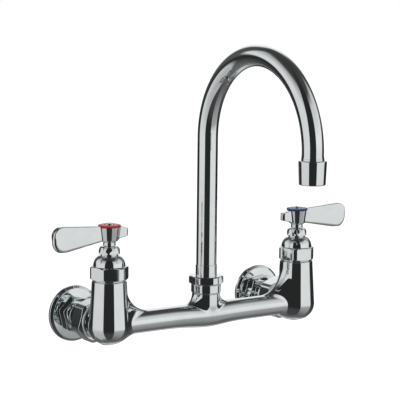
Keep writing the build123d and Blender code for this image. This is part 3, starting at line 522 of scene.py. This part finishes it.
def bonnet_nut(turn):
    """Hex with its skirt, dome and neck."""
    def corners(angles):
        face, radius, bevel = hex_band(angles, BONNET_HEX, turn, BONNET_INSET)
        return spread_corners(angles, (CARTRIDGE_RADIUS, BONNET_FOOT), (BONNET_THREAD, BONNET_FOOT),
                              (BONNET_THREAD, SKIRT_FOOT), (SKIRT_RADIUS, SKIRT_FOOT),
                              (SKIRT_RADIUS, BONNET_HEX_START), (face, BONNET_HEX_START),
                              (radius, BONNET_HEX_START + bevel), (radius, BONNET_HEX_END - bevel),
                              (face, BONNET_HEX_END), (14.1, BONNET_HEX_END), (13.2, 59.6),
                              (8.7, DOME_TOP), (THROAT_RADIUS, DOME_TOP),
                              (THROAT_RADIUS, BONNET_TOP), (PACKING_ROOM, BONNET_TOP),
                              (PACKING_ROOM, PACKING_FLOOR), (STEM_HOLE, PACKING_FLOOR),
                              (STEM_HOLE, CARTRIDGE_TOP), (CARTRIDGE_RADIUS, CARTRIDGE_TOP))
    radii = [0.3, 0.3, 0.2, 0.2, 0.2, 0.35, 0.5, 0.5, 0.35, 0.5, 10.0, 0.3, 0.5, 0.3, 0.3, 0.3,
             0.3, 0.3, 0.3]
    return turned(corners, radii, hex_angles(turn), steps=7)


def packing_nut(turn):
    """Small hex with a crowned top."""
    flats = PACKING_HEX[0] / 2

    def corners(angles):
        radius = hex_radius(angles, PACKING_HEX, turn)
        foot = BONNET_TOP + (radius - flats + PACKING_INSET) * BEVEL_SLOPE
        shoulder = PACKING_SHOULDER - (radius - flats) * PACKING_FALL
        return spread_corners(angles, (STEM_HOLE, PACKING_FOOT), (PACKING_THREAD, PACKING_FOOT),
                              (PACKING_THREAD, BONNET_TOP), (flats - PACKING_INSET, BONNET_TOP),
                              (radius, foot), (radius, shoulder), (8.3, 69.3),
                              (6.9, PACKING_TOP), (STEM_HOLE, PACKING_TOP))
    radii = [0.2, 0.2, 0.2, 0.3, 0.4, 0.5, 0.7, 0.8, 0.2]
    return turned(corners, radii, hex_angles(turn), steps=7)


# ---- lever, index ring and screw ---------------------------------------------------
CONE_FOOT = 74.6
CONE_RADIUS = 7.6              # of the hub at CONE_LEVEL
CONE_LEVEL = 75.0
CONE_FLARE = 0.143             # widening of the hub for each millimetre up
CONE_SLANT = 0.99              # turns the level distance to the cone into the nearest one
HUB_NECK = 5.45
BLADE_ROOT = 1.5               # half thickness of the blade at the hub
BLADE_FULL = 44.0              # distance from the axis at which it has its full thickness
BLADE_RISE = 3.6               # how much its upper edge rises and its lower edge drops
BLADE_DROP = 10.5
BLADE_TOP = 0.8                # where those edges start, from the top of the hub
BLADE_LOW = 10.9
TIP_TOP_ROUND = 10.0
TIP_LOW_ROUND = 12.4
TAIL_REACH = 18.4
TAIL_BEND = 11.8               # distance from the axis at which the tail's top starts to fall
TAIL_FALL = 0.333              # slope of that fall, and its cosine
TAIL_FALL_COSINE = 0.949
TAIL_LOW = 12.5                # its lower edge at the axis, from the top of the hub
TAIL_CLIMB = 0.223             # slope of the lower edge, and its secant
TAIL_CLIMB_SECANT = 1.0246
RIM_ROUND = 0.95               # rounding of the blade's rim, as a share of its half thickness
RIM_CRISP = 0.6                # how much of that is lost towards the top
RIM_LEVEL = 79.0
RIM_HEIGHT = 6.0


def lever_field(x, y, z):
    """Distance to the lever whose blade points along +X."""
    from_axis = np.hypot(x, y)
    cone = (from_axis - CONE_RADIUS - (z - CONE_LEVEL) * CONE_FLARE) * CONE_SLANT
    hub = round_meet(cone, z - HUB_TOP, 0.35)
    hub = round_meet(hub, CONE_FOOT - z, 1.2)
    neck = np.maximum(from_axis - HUB_NECK, HUB_BOTTOM - z)
    neck = np.maximum(neck, z - HUB_TOP)
    hub = round_union(hub, neck, 1.0)

    half = LEVER_THICKNESS / 2
    blade_half = BLADE_ROOT + (half - BLADE_ROOT) * np.clip(x / BLADE_FULL, 0, 1)
    top_slope, low_slope = BLADE_RISE / LEVER_LENGTH, -BLADE_DROP / LEVER_LENGTH
    over = (z - HUB_TOP - BLADE_TOP - top_slope * x) / math.hypot(1, top_slope)
    under = (HUB_TOP - BLADE_LOW + low_slope * x - z) / math.hypot(1, low_slope)
    outline = round_meet(x - LEVER_LENGTH, over, TIP_TOP_ROUND)
    outline = round_meet(outline, under, TIP_LOW_ROUND)
    outline = np.maximum(outline, -x)
    edge = blade_half * (RIM_ROUND - RIM_CRISP * np.clip((z - RIM_LEVEL) / RIM_HEIGHT, 0, 1))
    blade = round_meet(outline, np.abs(y) - blade_half, edge)

    falling = (z - HUB_TOP - TAIL_FALL * (x + TAIL_BEND)) * TAIL_FALL_COSINE
    tail_top = np.maximum(z - HUB_TOP - 0.3, falling)
    tail_low = (HUB_TOP - TAIL_LOW - TAIL_CLIMB * x - z) / TAIL_CLIMB_SECANT
    tail = round_meet(-x - TAIL_REACH, tail_top, 1.6)
    tail = round_meet(tail, tail_low, 1.2)
    tail = np.maximum(tail, x)
    bevelled = (-x - TAIL_REACH + np.abs(y) - half + 2.0) * 0.7071
    tail = round_meet(tail, bevelled, 0.6)
    tail = round_meet(tail, np.abs(y) - half, 0.7)
    handle = round_union(hub, np.minimum(blade, tail), 1.2)
    recess = np.maximum(from_axis - 10.0, HUB_TOP - z)
    return round_meet(handle, -recess, 0.2)


def lever_handle(side):
    """Cone hub with its blade and tail."""
    low = (-20.5, -10.5, HUB_BOTTOM - 1.2)
    high = (LEVER_LENGTH + 1.2, 10.5, HUB_TOP + 6.5)
    mirror = Matrix.Diagonal((SIDES[side], 1, 1, 1))
    return moved(mesh_field(lever_field, low, high, LEVER_VOXEL), mirror)


RING_NOTCHES = 12
RING_BORE = 4.3
RING_FOOT = 9.1
RING_RADIUS = 9.8
RING_TOP = 89.1
SCREW_ROUND = 10.0             # radius of the ball that domes the head, and its centre
SCREW_CENTRE = 80.7
SCREW_HEAD = 4.1
SCREW_SHANK = 1.9
SCREW_VOXEL = 0.2
SLOT_HALF = 0.5
SLOT_FLOOR = 89.4


def index_ring():
    """Coloured ring, scalloped round its upper edge."""
    def corners(angles):
        wave = 0.5 - 0.5 * np.cos(angles * RING_NOTCHES)
        drop = 0.2 + 0.5 * wave ** 2
        return spread_corners(angles, (RING_BORE, HUB_TOP), (RING_FOOT, HUB_TOP),
                              (RING_RADIUS, HUB_TOP + 0.7),
                              (RING_RADIUS - 0.1 * wave ** 2, RING_TOP - drop),
                              (7.2, RING_TOP), (RING_BORE, RING_TOP))
    angles = np.linspace(0, 2 * math.pi, RING_NOTCHES * 20, endpoint=False)
    return turned(corners, [0.1, 0.2, 0.2, 0.5, 0.6, 0.3], angles)


def screw_field(x, y, z):
    """Distance to the domed head and shank of the handle screw."""
    from_axis = np.hypot(x, y)
    ball = np.sqrt(x ** 2 + y ** 2 + (z - SCREW_CENTRE) ** 2) - SCREW_ROUND
    head = np.maximum(round_meet(ball, from_axis - SCREW_HEAD, 1.2), HUB_TOP - z)
    slot = round_meet(np.abs(y) - SLOT_HALF, SLOT_FLOOR - z, 0.05)
    head = round_meet(head, -slot, 0.15)
    shank = np.maximum(from_axis - SCREW_SHANK, np.abs(z - 80.0) - 7.0)
    return np.minimum(head, shank)


def handle_screw(side):
    """Domed screw with a slot."""
    patch = mesh_field(screw_field, (-4.8, -4.8, 72.0), (4.8, 4.8, 91.5), SCREW_VOXEL)
    turn = Matrix.Rotation(math.radians(25 * SIDES[side]), 4, "Z")
    return moved(patch, turn)


# ---- swivel joint and spout ----------------------------------------------------------
POST_FOOT = 8.1
POST_THREAD = 9.6
POST_COLLAR = 13.5
POST_COLLAR_TOP = 27.5
POST_RADIUS = 12.4
POST_TOP = 31.0
POST_BORE = 9.0
SOCKET_TOP = 12.1
SPOUT_NUT_INSET = 0.3
SPOUT_NUT_BORE = 12.45
SPOUT_NUT_MOUTH = 9.65
SPOUT_NUT_START = 27.9
SPOUT_NUT_SHELF = 33.4
SPOUT_NUT_END = 35.1
SHANK_RADIUS = 8.95
SHANK_FOOT = 12.6
SWIVEL_FLANGE = 11.6
SWIVEL_START = 31.9
SWIVEL_END = 33.2
SPOUT_COLLAR = 9.6
SPIGOT_IN_TUBE = 7.95
SPOUT_WATERWAY = 6.4
TIP_THREAD = 9.3
TIP_FOOT = 146.0
TIP_COLLAR_FOOT = 154.6
AERATOR_MOUTH = 8.6
AERATOR_FOOT = 134.4
AERATOR_SHELF = 143.5
AERATOR_BORE = 9.35
AERATOR_TOP = 154.5


def spout_adapter():
    """Round collar under the spout nut, with its two threads and a key socket."""
    def corners(angles):
        socket = hex_radius(angles, POST_SOCKET, 0.0)
        return spread_corners(angles, (socket, POST_FOOT), (POST_THREAD, POST_FOOT),
                              (POST_THREAD, BOSS_TOP), (POST_COLLAR, BOSS_TOP),
                              (POST_COLLAR, POST_COLLAR_TOP), (POST_RADIUS, POST_COLLAR_TOP),
                              (POST_RADIUS, POST_TOP), (POST_BORE, POST_TOP),
                              (POST_BORE, SOCKET_TOP), (socket, SOCKET_TOP))
    return turned(corners, [0.2, 0.3, 0.2, 0.9, 0.9, 0.2, 0.3, 0.3, 0.3, 0.2], hex_angles(0.0))


def spout_nut():
    """Hex nut that holds the spout down."""
    def corners(angles):
        face, radius, bevel = hex_band(angles, SPOUT_NUT_HEX, SPOUT_NUT_TURN, SPOUT_NUT_INSET)
        return spread_corners(angles, (SPOUT_NUT_BORE, SPOUT_NUT_START), (face, SPOUT_NUT_START),
                              (radius, SPOUT_NUT_START + bevel), (radius, SPOUT_NUT_END - bevel),
                              (face, SPOUT_NUT_END), (SPOUT_NUT_MOUTH, SPOUT_NUT_END),
                              (SPOUT_NUT_MOUTH, SPOUT_NUT_SHELF),
                              (SPOUT_NUT_BORE, SPOUT_NUT_SHELF))
    radii = [0.3, 0.35, 0.5, 0.5, 0.35, 0.4, 0.2, 0.2]
    return turned(corners, radii, hex_angles(SPOUT_NUT_TURN))


def spout_shank():
    """Swivelling foot: shank, flange, collar and spigot."""
    outline = [(SPOUT_WATERWAY, SHANK_FOOT), (SHANK_RADIUS, SHANK_FOOT),
               (SHANK_RADIUS, SWIVEL_START), (SWIVEL_FLANGE, SWIVEL_START),
               (SWIVEL_FLANGE, SWIVEL_END), (SPOUT_COLLAR, SWIVEL_END), (SPOUT_COLLAR, TUBE_LOW),
               (SPIGOT_IN_TUBE, TUBE_LOW), (SPIGOT_IN_TUBE, 53.0), (SPOUT_WATERWAY, 53.0)]
    return turned(outline, [0.3, 0.5, 0.2, 0.2, 0.2, 0.2, 0.5, 0.1, 0.4, 0.3])


def spout_tube():
    """Bent tube: straight rise, half circle forward and a short drop."""
    radius = REACH / 2
    stations = [(0.0, height, 0.0) for height in np.linspace(TUBE_LOW, ARC_CENTRE, 9)[:-1]]
    for angle in np.linspace(0, math.pi, 145):
        stations.append((-radius + radius * math.cos(angle), ARC_CENTRE + radius * math.sin(angle),
                         angle))
    for height in np.linspace(ARC_CENTRE, TUBE_END, 7)[1:]:
        stations.append((-REACH, height, math.pi))
    around = np.linspace(0, 2 * math.pi, 112, endpoint=False)
    points, normals = [], []
    for forward, height, angle in stations:
        flare = 0.3 * max(0.0, 1 - (height - TUBE_END) / 3.0) ** 2 if angle == math.pi else 0.0
        out = np.stack([np.cos(around), np.sin(around) * math.cos(angle),
                        np.sin(around) * math.sin(angle)], -1)
        for size, sign in ((TUBE_RADIUS + flare, 1), (TUBE_BORE, -1)):
            points.append(np.array([0, -STANDOFF + forward, height]) + out * size)
            normals.append(out * sign)
    count = len(around)
    last = len(stations) - 1
    faces = []

    def bridge(start, end, reverse):
        """Quads between two rings of points."""
        for index in range(count):
            ahead = (index + 1) % count
            face = [start + index, start + ahead, end + ahead, end + index]
            faces.append(face[::-1] if reverse else face)

    for station in range(last):
        for wall, reverse in ((0, False), (1, True)):
            bridge((station * 2 + wall) * count, ((station + 1) * 2 + wall) * count, reverse)
    for station, reverse in ((0, True), (last, False)):
        bridge(station * 2 * count, (station * 2 + 1) * count, reverse)
    return np.concatenate(points), faces, np.concatenate(normals)


def spout_tip():
    """Collar and thread at the end of the tube."""
    outline = [(SPOUT_WATERWAY, TIP_FOOT), (TIP_THREAD, TIP_FOOT), (TIP_THREAD, TIP_COLLAR_FOOT),
               (SPOUT_COLLAR, TIP_COLLAR_FOOT), (SPOUT_COLLAR, TUBE_END),
               (SPIGOT_IN_TUBE, TUBE_END), (SPIGOT_IN_TUBE, 159.7), (SPOUT_WATERWAY, 159.7)]
    return turned(outline, [0.2, 0.2, 0.05, 0.1, 0.4, 0.1, 0.2, 0.2])


def aerator_housing():
    """Tapered chrome shell."""
    outline = [(AERATOR_MOUTH, AERATOR_FOOT), (11.0, AERATOR_FOOT), (11.8, AERATOR_TOP),
               (AERATOR_BORE, AERATOR_TOP), (AERATOR_BORE, AERATOR_SHELF),
               (AERATOR_MOUTH, AERATOR_SHELF)]
    return turned(outline, [0.6, 1.0, 0.9, 0.2, 0.1, 0.1], steps=8)


# ---- materials ---------------------------------------------------------------------
class Nodes:
    """Small helper that builds a node tree."""

    def __init__(self, name):
        self.material = bpy.data.materials.new(name)
        self.material.use_nodes = True
        self.tree = self.material.node_tree
        self.tree.nodes.clear()

    def add(self, kind, **values):
        node = self.tree.nodes.new(kind)
        for key, value in values.items():
            if hasattr(node, key):
                setattr(node, key, value)
            else:
                node.inputs[key.replace("_", " ")].default_value = value
        return node

    def link(self, source, target):
        self.tree.links.new(source, target)

    def ramp(self, source, *stops):
        node = self.add("ShaderNodeValToRGB")
        elements = node.color_ramp.elements
        while len(elements) < len(stops):
            elements.new(0.5)
        for element, (place, colour) in zip(elements, stops):
            element.position = place
            element.color = (*colour, 1) if isinstance(colour, tuple) else (colour,) * 3 + (1,)
        self.link(source, node.inputs["Fac"])
        return node.outputs["Color"]

    def math(self, operation, first, second=None):
        node = self.add("ShaderNodeMath", operation=operation)
        for socket, value in zip(node.inputs, (first, second)):
            if isinstance(value, (int, float)):
                socket.default_value = value
            elif value is not None:
                self.link(value, socket)
        return node.outputs["Value"]

    def rise(self, value, start, end):
        node = self.add("ShaderNodeMapRange", interpolation_type="SMOOTHSTEP")
        node.inputs["From Min"].default_value = start
        node.inputs["From Max"].default_value = end
        self.link(value, node.inputs["Value"])
        return node.outputs["Result"]

    def blend(self, share, first, second):
        kept = self.math("MULTIPLY", first, self.math("SUBTRACT", 1.0, share))
        return self.math("ADD", kept, self.math("MULTIPLY", second, share))

    def noise(self, scale, detail=3.0, rough=0.5):
        place = self.add("ShaderNodeTexCoord")
        node = self.add("ShaderNodeTexNoise")
        node.inputs["Scale"].default_value = scale
        node.inputs["Detail"].default_value = detail
        node.inputs["Roughness"].default_value = rough
        self.link(place.outputs["Object"], node.inputs["Vector"])
        return node.outputs["Fac"]

    def bump(self, source, strength, distance):
        node = self.add("ShaderNodeBump")
        node.inputs["Strength"].default_value = strength
        node.inputs["Distance"].default_value = distance
        self.link(source, node.inputs["Height"])
        return node.outputs["Normal"]


def finished(name, colours, roughness, scale, metallic=0.0, bump=0.0, **sockets):
    """A surface with a slightly uneven colour, roughness and polish."""
    nodes = Nodes(name)
    shader = nodes.add("ShaderNodeBsdfPrincipled")
    output = nodes.add("ShaderNodeOutputMaterial")
    nodes.link(shader.outputs["BSDF"], output.inputs["Surface"])
    shader.inputs["Metallic"].default_value = metallic
    for key, value in sockets.items():
        shader.inputs[key.replace("_", " ")].default_value = value
    grain = nodes.noise(scale)
    nodes.link(nodes.ramp(grain, (0.35, colours[0]), (0.65, colours[1])),
               shader.inputs["Base Color"])
    smudge = nodes.noise(scale * 0.4, 5.0, 0.6)
    nodes.link(nodes.ramp(smudge, (0.35, roughness[0]), (0.7, roughness[1])),
               shader.inputs["Roughness"])
    if bump:
        nodes.link(nodes.bump(nodes.noise(scale * 0.5, 2.0), bump, 0.0002),
                   shader.inputs["Normal"])
    return nodes.material


chrome_cast = finished("chrome_cast", ((0.84, 0.875, 0.885), (0.88, 0.915, 0.925)), (0.03, 0.07),
                       90.0, metallic=1.0, bump=0.03)
chrome_turned = finished("chrome_turned", ((0.85, 0.885, 0.895), (0.89, 0.925, 0.935)),
                         (0.02, 0.05), 140.0, metallic=1.0)
brass = finished("brass", ((0.70, 0.54, 0.25), (0.78, 0.62, 0.32)), (0.22, 0.34), 160.0,
                 metallic=1.0, bump=0.1)
rubber = finished("rubber", ((0.022, 0.022, 0.022), (0.035, 0.035, 0.035)), (0.6, 0.8), 250.0,
                  bump=0.3)
ceramic = finished("ceramic", ((0.82, 0.81, 0.78), (0.88, 0.87, 0.84)), (0.12, 0.2), 200.0)
ptfe = finished("ptfe", ((0.80, 0.80, 0.78), (0.86, 0.86, 0.84)), (0.4, 0.5), 150.0)
plastic = finished("plastic", ((0.78, 0.78, 0.77), (0.83, 0.83, 0.82)), (0.25, 0.35), 120.0)
steel = finished("steel", ((0.52, 0.52, 0.52), (0.62, 0.62, 0.62)), (0.2, 0.32), 220.0,
                 metallic=1.0)
hot_index = finished("hot_index", ((0.31, 0.014, 0.014), (0.38, 0.02, 0.02)), (0.22, 0.32), 180.0,
                     Specular_IOR_Level=0.3)
cold_index = finished("cold_index", ((0.014, 0.04, 0.12), (0.02, 0.052, 0.155)), (0.22, 0.32),
                      180.0, Specular_IOR_Level=0.3)

inner_finishes = {"polished_chrome": chrome_turned, "brass": brass, "black_rubber": rubber,
                  "ceramic": ceramic, "ptfe": ptfe, "white_plastic": plastic,
                  "steel_mesh": steel, "hot_index": hot_index, "cold_index": cold_index}
for part in frame["record"]["subparts"]:
    node = frame["nodes"][part["node"]]
    node.data.materials.clear()
    node.data.materials.append(inner_finishes[part["material_slot"]])

# ---- pieces ------------------------------------------------------------------------
shaped("body_casting", faucet_body(), "body", ["faucet_body"], chrome_cast)
for side, sign in SIDES.items():
    x = sign * HALF_CENTRES
    lever = side + "_lever"
    for label, node, patch in (
            ("flange", "wall_flange", wall_flange()),
            ("adapter", "inlet_adapter", inlet_adapter(ADAPTER_TURN[side])),
            ("union", "union_nut", union_nut(UNION_TURN[side]))):
        shaped(side + "_" + label, on_inlet(patch, side), "body", [side + "_" + node],
               chrome_turned)
    for label, node, patch in (
            ("bonnet", "bonnet_nut", bonnet_nut(BONNET_TURN[side])),
            ("gland", "packing_nut", packing_nut(PACKING_TURN[side]))):
        shaped(side + "_" + label, on_post(patch, x), "body", [side + "_" + node],
               chrome_turned)
    shaped(side + "_handle", on_post(lever_handle(side), x), lever, [side + "_lever_handle"],
           chrome_cast)
    shaped(side + "_ring", on_post(index_ring(), x), lever, [side + "_index_ring"],
           {"hot": hot_index, "cold": cold_index}[side])
    shaped(side + "_screw", on_post(handle_screw(side), x), lever, [side + "_handle_screw"],
           chrome_turned)
shaped("post_collar", on_post(spout_adapter(), 0), "body", ["spout_adapter"],
       chrome_turned)
shaped("spout_hex", on_post(spout_nut(), 0), "body", ["spout_nut"],
       chrome_turned)
shaped("spout_foot", on_post(spout_shank(), 0), "spout", ["spout_shank"],
       chrome_turned)
shaped("gooseneck", spout_tube(), "spout", ["spout_tube"], chrome_turned)
outlet = Matrix.Translation((0, -STANDOFF - REACH, 0))
shaped("spout_end", moved(spout_tip(), outlet), "spout", ["spout_tip"],
       chrome_turned)
shaped("aerator", moved(aerator_housing(), outlet), "spout", ["aerator_housing"],
       chrome_turned)


# ---- room, lamps and camera ---------------------------------------------------------
FLOOR_LEVEL = -0.30
FLOOR_RADIUS = 8.0
FLOOR_LIFT = 0.35              # glow that makes the floor white to the eye
ROOM_RADIUS = 4.0
SKY_COLOUR = (0.70, 0.70, 0.71)
KEY_STRENGTH = 1.1
KEY_SOFTNESS = 30              # the lamp's width, tilt and turn in degrees
KEY_TILT = 38
KEY_TURN = -60
# Azimuths from the camera's direction, in degrees, at which the room changes.
DARK_MIDDLE = 1.2              # middle of the unlit side behind the camera
DARK_HALF = (30, 32)           # end of the unlit side, from its middle
SOFTBOX_END = (99, 107)        # end of the softboxes below the horizon
SOFTBOX_LEAN = 17              # how much further round they reach above it
LEAN_RISE = (-0.06, 0.45)      # heights between which they lean, in room radii
BACKDROP_START = (150, 172)    # start of the lit backdrop behind the object
# Brightness by elevation in degrees.
CAMERA_SIDE = ((-90, 0.09), (-70, 0.06), (-35, 0.05), (-20, 0.022), (50, 0.021), (90, 0.035))
LEFT_SOFTBOX = ((-90, 0.09), (-72, 0.15), (-58, 0.46), (-40, 0.46), (-22, 0.52), (-12, 0.64),
                (-4, 0.72), (25, 0.72), (36, 0.52), (46, 0.44), (53, 0.20), (60, 0.05), (90, 0.04))
RIGHT_SOFTBOX = ((-90, 0.09), (-70, 0.13), (-58, 0.18), (-44, 0.26), (-20, 0.37), (-11, 0.74),
                 (10, 0.84), (30, 0.66), (43, 0.56), (49, 0.26), (56, 0.06), (90, 0.04))
BACK = ((-90, 0.12), (-50, 0.13), (-20, 0.05), (-5, 0.02), (4, 0.04), (14, 0.09), (38, 0.07),
        (60, 0.05), (90, 0.035))
BACKDROP = ((-90, 0.08), (-60, 0.30), (-45, 0.70), (-32, 0.35), (-21, 0.04), (-6, 0.03), (1, 0.45),
            (6, 0.9), (38, 0.9), (50, 0.06), (90, 0.04))


def unseen(stage_piece):
    """Keep a stage piece for reflections alone."""
    stage_piece.visible_camera = False
    stage_piece.visible_diffuse = False
    stage_piece.visible_shadow = False
    stage_piece.visible_transmission = False


def glow(name, colour_from):
    """Emission whose colour comes from a function of the object's coordinates."""
    nodes = Nodes(name)
    place = nodes.add("ShaderNodeTexCoord")
    light = nodes.add("ShaderNodeEmission")
    output = nodes.add("ShaderNodeOutputMaterial")
    nodes.link(light.outputs["Emission"], output.inputs["Surface"])
    nodes.link(colour_from(nodes, place.outputs["Object"]), light.inputs["Color"])
    nodes.material.cycles.emission_sampling = "NONE"
    return nodes.material


def by_elevation(nodes, elevation, stops):
    """Brightness that follows the elevation of the direction looked in."""
    return nodes.ramp(elevation, *[((degrees + 90) / 180, level) for degrees, level in stops])


def room_colour(nodes, place):
    """Softboxes left and right, a dark camera side and ceiling, a lit backdrop."""
    azimuth = math.radians(CAMERA_AZIMUTH)
    towards = (math.sin(azimuth), -math.cos(azimuth), 0)
    across = (math.cos(azimuth), math.sin(azimuth), 0)
    parts = []
    for direction in (towards, across):
        dot = nodes.add("ShaderNodeVectorMath", operation="DOT_PRODUCT")
        dot.inputs[1].default_value = direction
        nodes.link(place, dot.inputs[0])
        parts.append(dot.outputs["Value"])
    split = nodes.add("ShaderNodeSeparateXYZ")
    nodes.link(place, split.inputs["Vector"])
    angle = nodes.math("ARCTAN2", parts[1], parts[0])
    degrees = nodes.math("MULTIPLY", angle, 180 / math.pi)
    around = nodes.math("ABSOLUTE", degrees)
    from_middle = nodes.math("ABSOLUTE", nodes.math("SUBTRACT", degrees, DARK_MIDDLE))
    rise = nodes.math("ARCSINE", nodes.math("DIVIDE", split.outputs["Z"], ROOM_RADIUS))
    elevation = nodes.math("ADD", nodes.math("DIVIDE", rise, math.pi), 0.5)
    above = nodes.rise(split.outputs["Z"], *(share * ROOM_RADIUS for share in LEAN_RISE))
    reached = nodes.math("SUBTRACT", around, nodes.math("MULTIPLY", above, SOFTBOX_LEAN))
    right = nodes.math("GREATER_THAN", degrees, 0.0)
    lit = nodes.blend(right, by_elevation(nodes, elevation, LEFT_SOFTBOX),
                      by_elevation(nodes, elevation, RIGHT_SOFTBOX))
    back = nodes.blend(nodes.rise(around, *BACKDROP_START), by_elevation(nodes, elevation, BACK),
                       by_elevation(nodes, elevation, BACKDROP))
    sides = nodes.blend(nodes.rise(reached, *SOFTBOX_END), lit, back)
    return nodes.blend(nodes.rise(from_middle, *DARK_HALF),
                       by_elevation(nodes, elevation, CAMERA_SIDE), sides)


def stage_disc(name, radius, level, material):
    """Round stage floor."""
    work = bmesh.new()
    bmesh.ops.create_circle(work, cap_ends=True, segments=96, radius=radius)
    mesh = bpy.data.meshes.new(name)
    work.to_mesh(mesh)
    work.free()
    mesh.materials.append(material)
    disc = bpy.data.objects.new(name, mesh)
    disc.location = (0, 0, level)
    bpy.context.scene.collection.objects.link(disc)
    return disc


def stage_room():
    """Ball round the scene that only reflections see."""
    work = bmesh.new()
    bmesh.ops.create_uvsphere(work, u_segments=96, v_segments=64, radius=ROOM_RADIUS)
    mesh = bpy.data.meshes.new("stage_room")
    work.to_mesh(mesh)
    work.free()
    mesh.polygons.foreach_set("use_smooth", [True] * len(mesh.polygons))
    mesh.materials.append(glow("stage_room", room_colour))
    room = bpy.data.objects.new("stage_room", mesh)
    bpy.context.scene.collection.objects.link(room)
    unseen(room)


def white_to_rays(tree, plain, white):
    """Mix two shaders so that camera, glossy and transmission rays see the white one."""
    path = tree.nodes.new("ShaderNodeLightPath")
    first = tree.nodes.new("ShaderNodeMath")
    first.operation = "MAXIMUM"
    second = tree.nodes.new("ShaderNodeMath")
    second.operation = "MAXIMUM"
    mix = tree.nodes.new("ShaderNodeMixShader")
    tree.links.new(path.outputs["Is Camera Ray"], first.inputs[0])
    tree.links.new(path.outputs["Is Glossy Ray"], first.inputs[1])
    tree.links.new(first.outputs[0], second.inputs[0])
    tree.links.new(path.outputs["Is Transmission Ray"], second.inputs[1])
    tree.links.new(second.outputs[0], mix.inputs["Fac"])
    tree.links.new(plain, mix.inputs[1])
    tree.links.new(white, mix.inputs[2])
    return mix.outputs[0]


def floor_material():
    """Pale floor that stays white to the eye and keeps the object's shadow."""
    nodes = Nodes("floor")
    matte = nodes.add("ShaderNodeBsdfDiffuse")
    matte.inputs["Color"].default_value = (0.80, 0.80, 0.80, 1)
    lift = nodes.add("ShaderNodeEmission")
    lift.inputs["Strength"].default_value = FLOOR_LIFT
    both = nodes.add("ShaderNodeAddShader")
    output = nodes.add("ShaderNodeOutputMaterial")
    nodes.link(matte.outputs["BSDF"], both.inputs[0])
    nodes.link(lift.outputs["Emission"], both.inputs[1])
    shown = white_to_rays(nodes.tree, matte.outputs["BSDF"], both.outputs[0])
    nodes.link(shown, output.inputs["Surface"])
    return nodes.material


def light_world():
    """Soft even light, white to camera, glossy and transmission rays."""
    world = bpy.data.worlds.new("studio")
    bpy.context.scene.world = world
    world.use_nodes = True
    tree = world.node_tree
    tree.nodes.clear()
    soft = tree.nodes.new("ShaderNodeBackground")
    soft.inputs["Color"].default_value = (*SKY_COLOUR, 1)
    white = tree.nodes.new("ShaderNodeBackground")
    white.inputs["Color"].default_value = (1, 1, 1, 1)
    output = tree.nodes.new("ShaderNodeOutputWorld")
    shown = white_to_rays(tree, soft.outputs[0], white.outputs[0])
    tree.links.new(shown, output.inputs["Surface"])


def soft_sun():
    """One soft key lamp from the upper left."""
    data = bpy.data.lights.new("key", "SUN")
    data.energy = KEY_STRENGTH
    data.angle = math.radians(KEY_SOFTNESS)
    lamp = bpy.data.objects.new("key", data)
    lamp.rotation_euler = (math.radians(KEY_TILT), 0, math.radians(KEY_TURN))
    lamp.visible_glossy = False
    bpy.context.scene.collection.objects.link(lamp)


def place_camera():
    """Camera at the photograph's viewpoint."""
    azimuth, pitch, roll = (math.radians(value) for value in
                            (CAMERA_AZIMUTH, CAMERA_PITCH, CAMERA_ROLL))
    back = Vector((math.sin(azimuth) * math.cos(pitch), -math.cos(azimuth) * math.cos(pitch),
                   math.sin(pitch)))
    right = (-back).cross(Vector((0, 0, 1))).normalized()
    up = right.cross(-back)
    turned_right = right * math.cos(roll) + up * math.sin(roll)
    turned_up = up * math.cos(roll) - right * math.sin(roll)
    place = (Vector(CAMERA_TARGET) + back * CAMERA_DISTANCE) * MM
    data = bpy.data.cameras.new("camera")
    data.sensor_width = SENSOR_WIDTH
    data.lens = CAMERA_LENS
    camera = bpy.data.objects.new("camera", data)
    camera.matrix_world = Matrix((
        (turned_right.x, turned_up.x, back.x, place.x),
        (turned_right.y, turned_up.y, back.y, place.y),
        (turned_right.z, turned_up.z, back.z, place.z),
        (0, 0, 0, 1)))
    bpy.context.scene.collection.objects.link(camera)
    bpy.context.scene.camera = camera


place_camera()
stage_disc("stage_floor", FLOOR_RADIUS, FLOOR_LEVEL, floor_material()).visible_glossy = False
stage_room()
light_world()
soft_sun()
bpy.context.scene.view_settings.view_transform = "Standard"

bpy.context.view_layer.update()
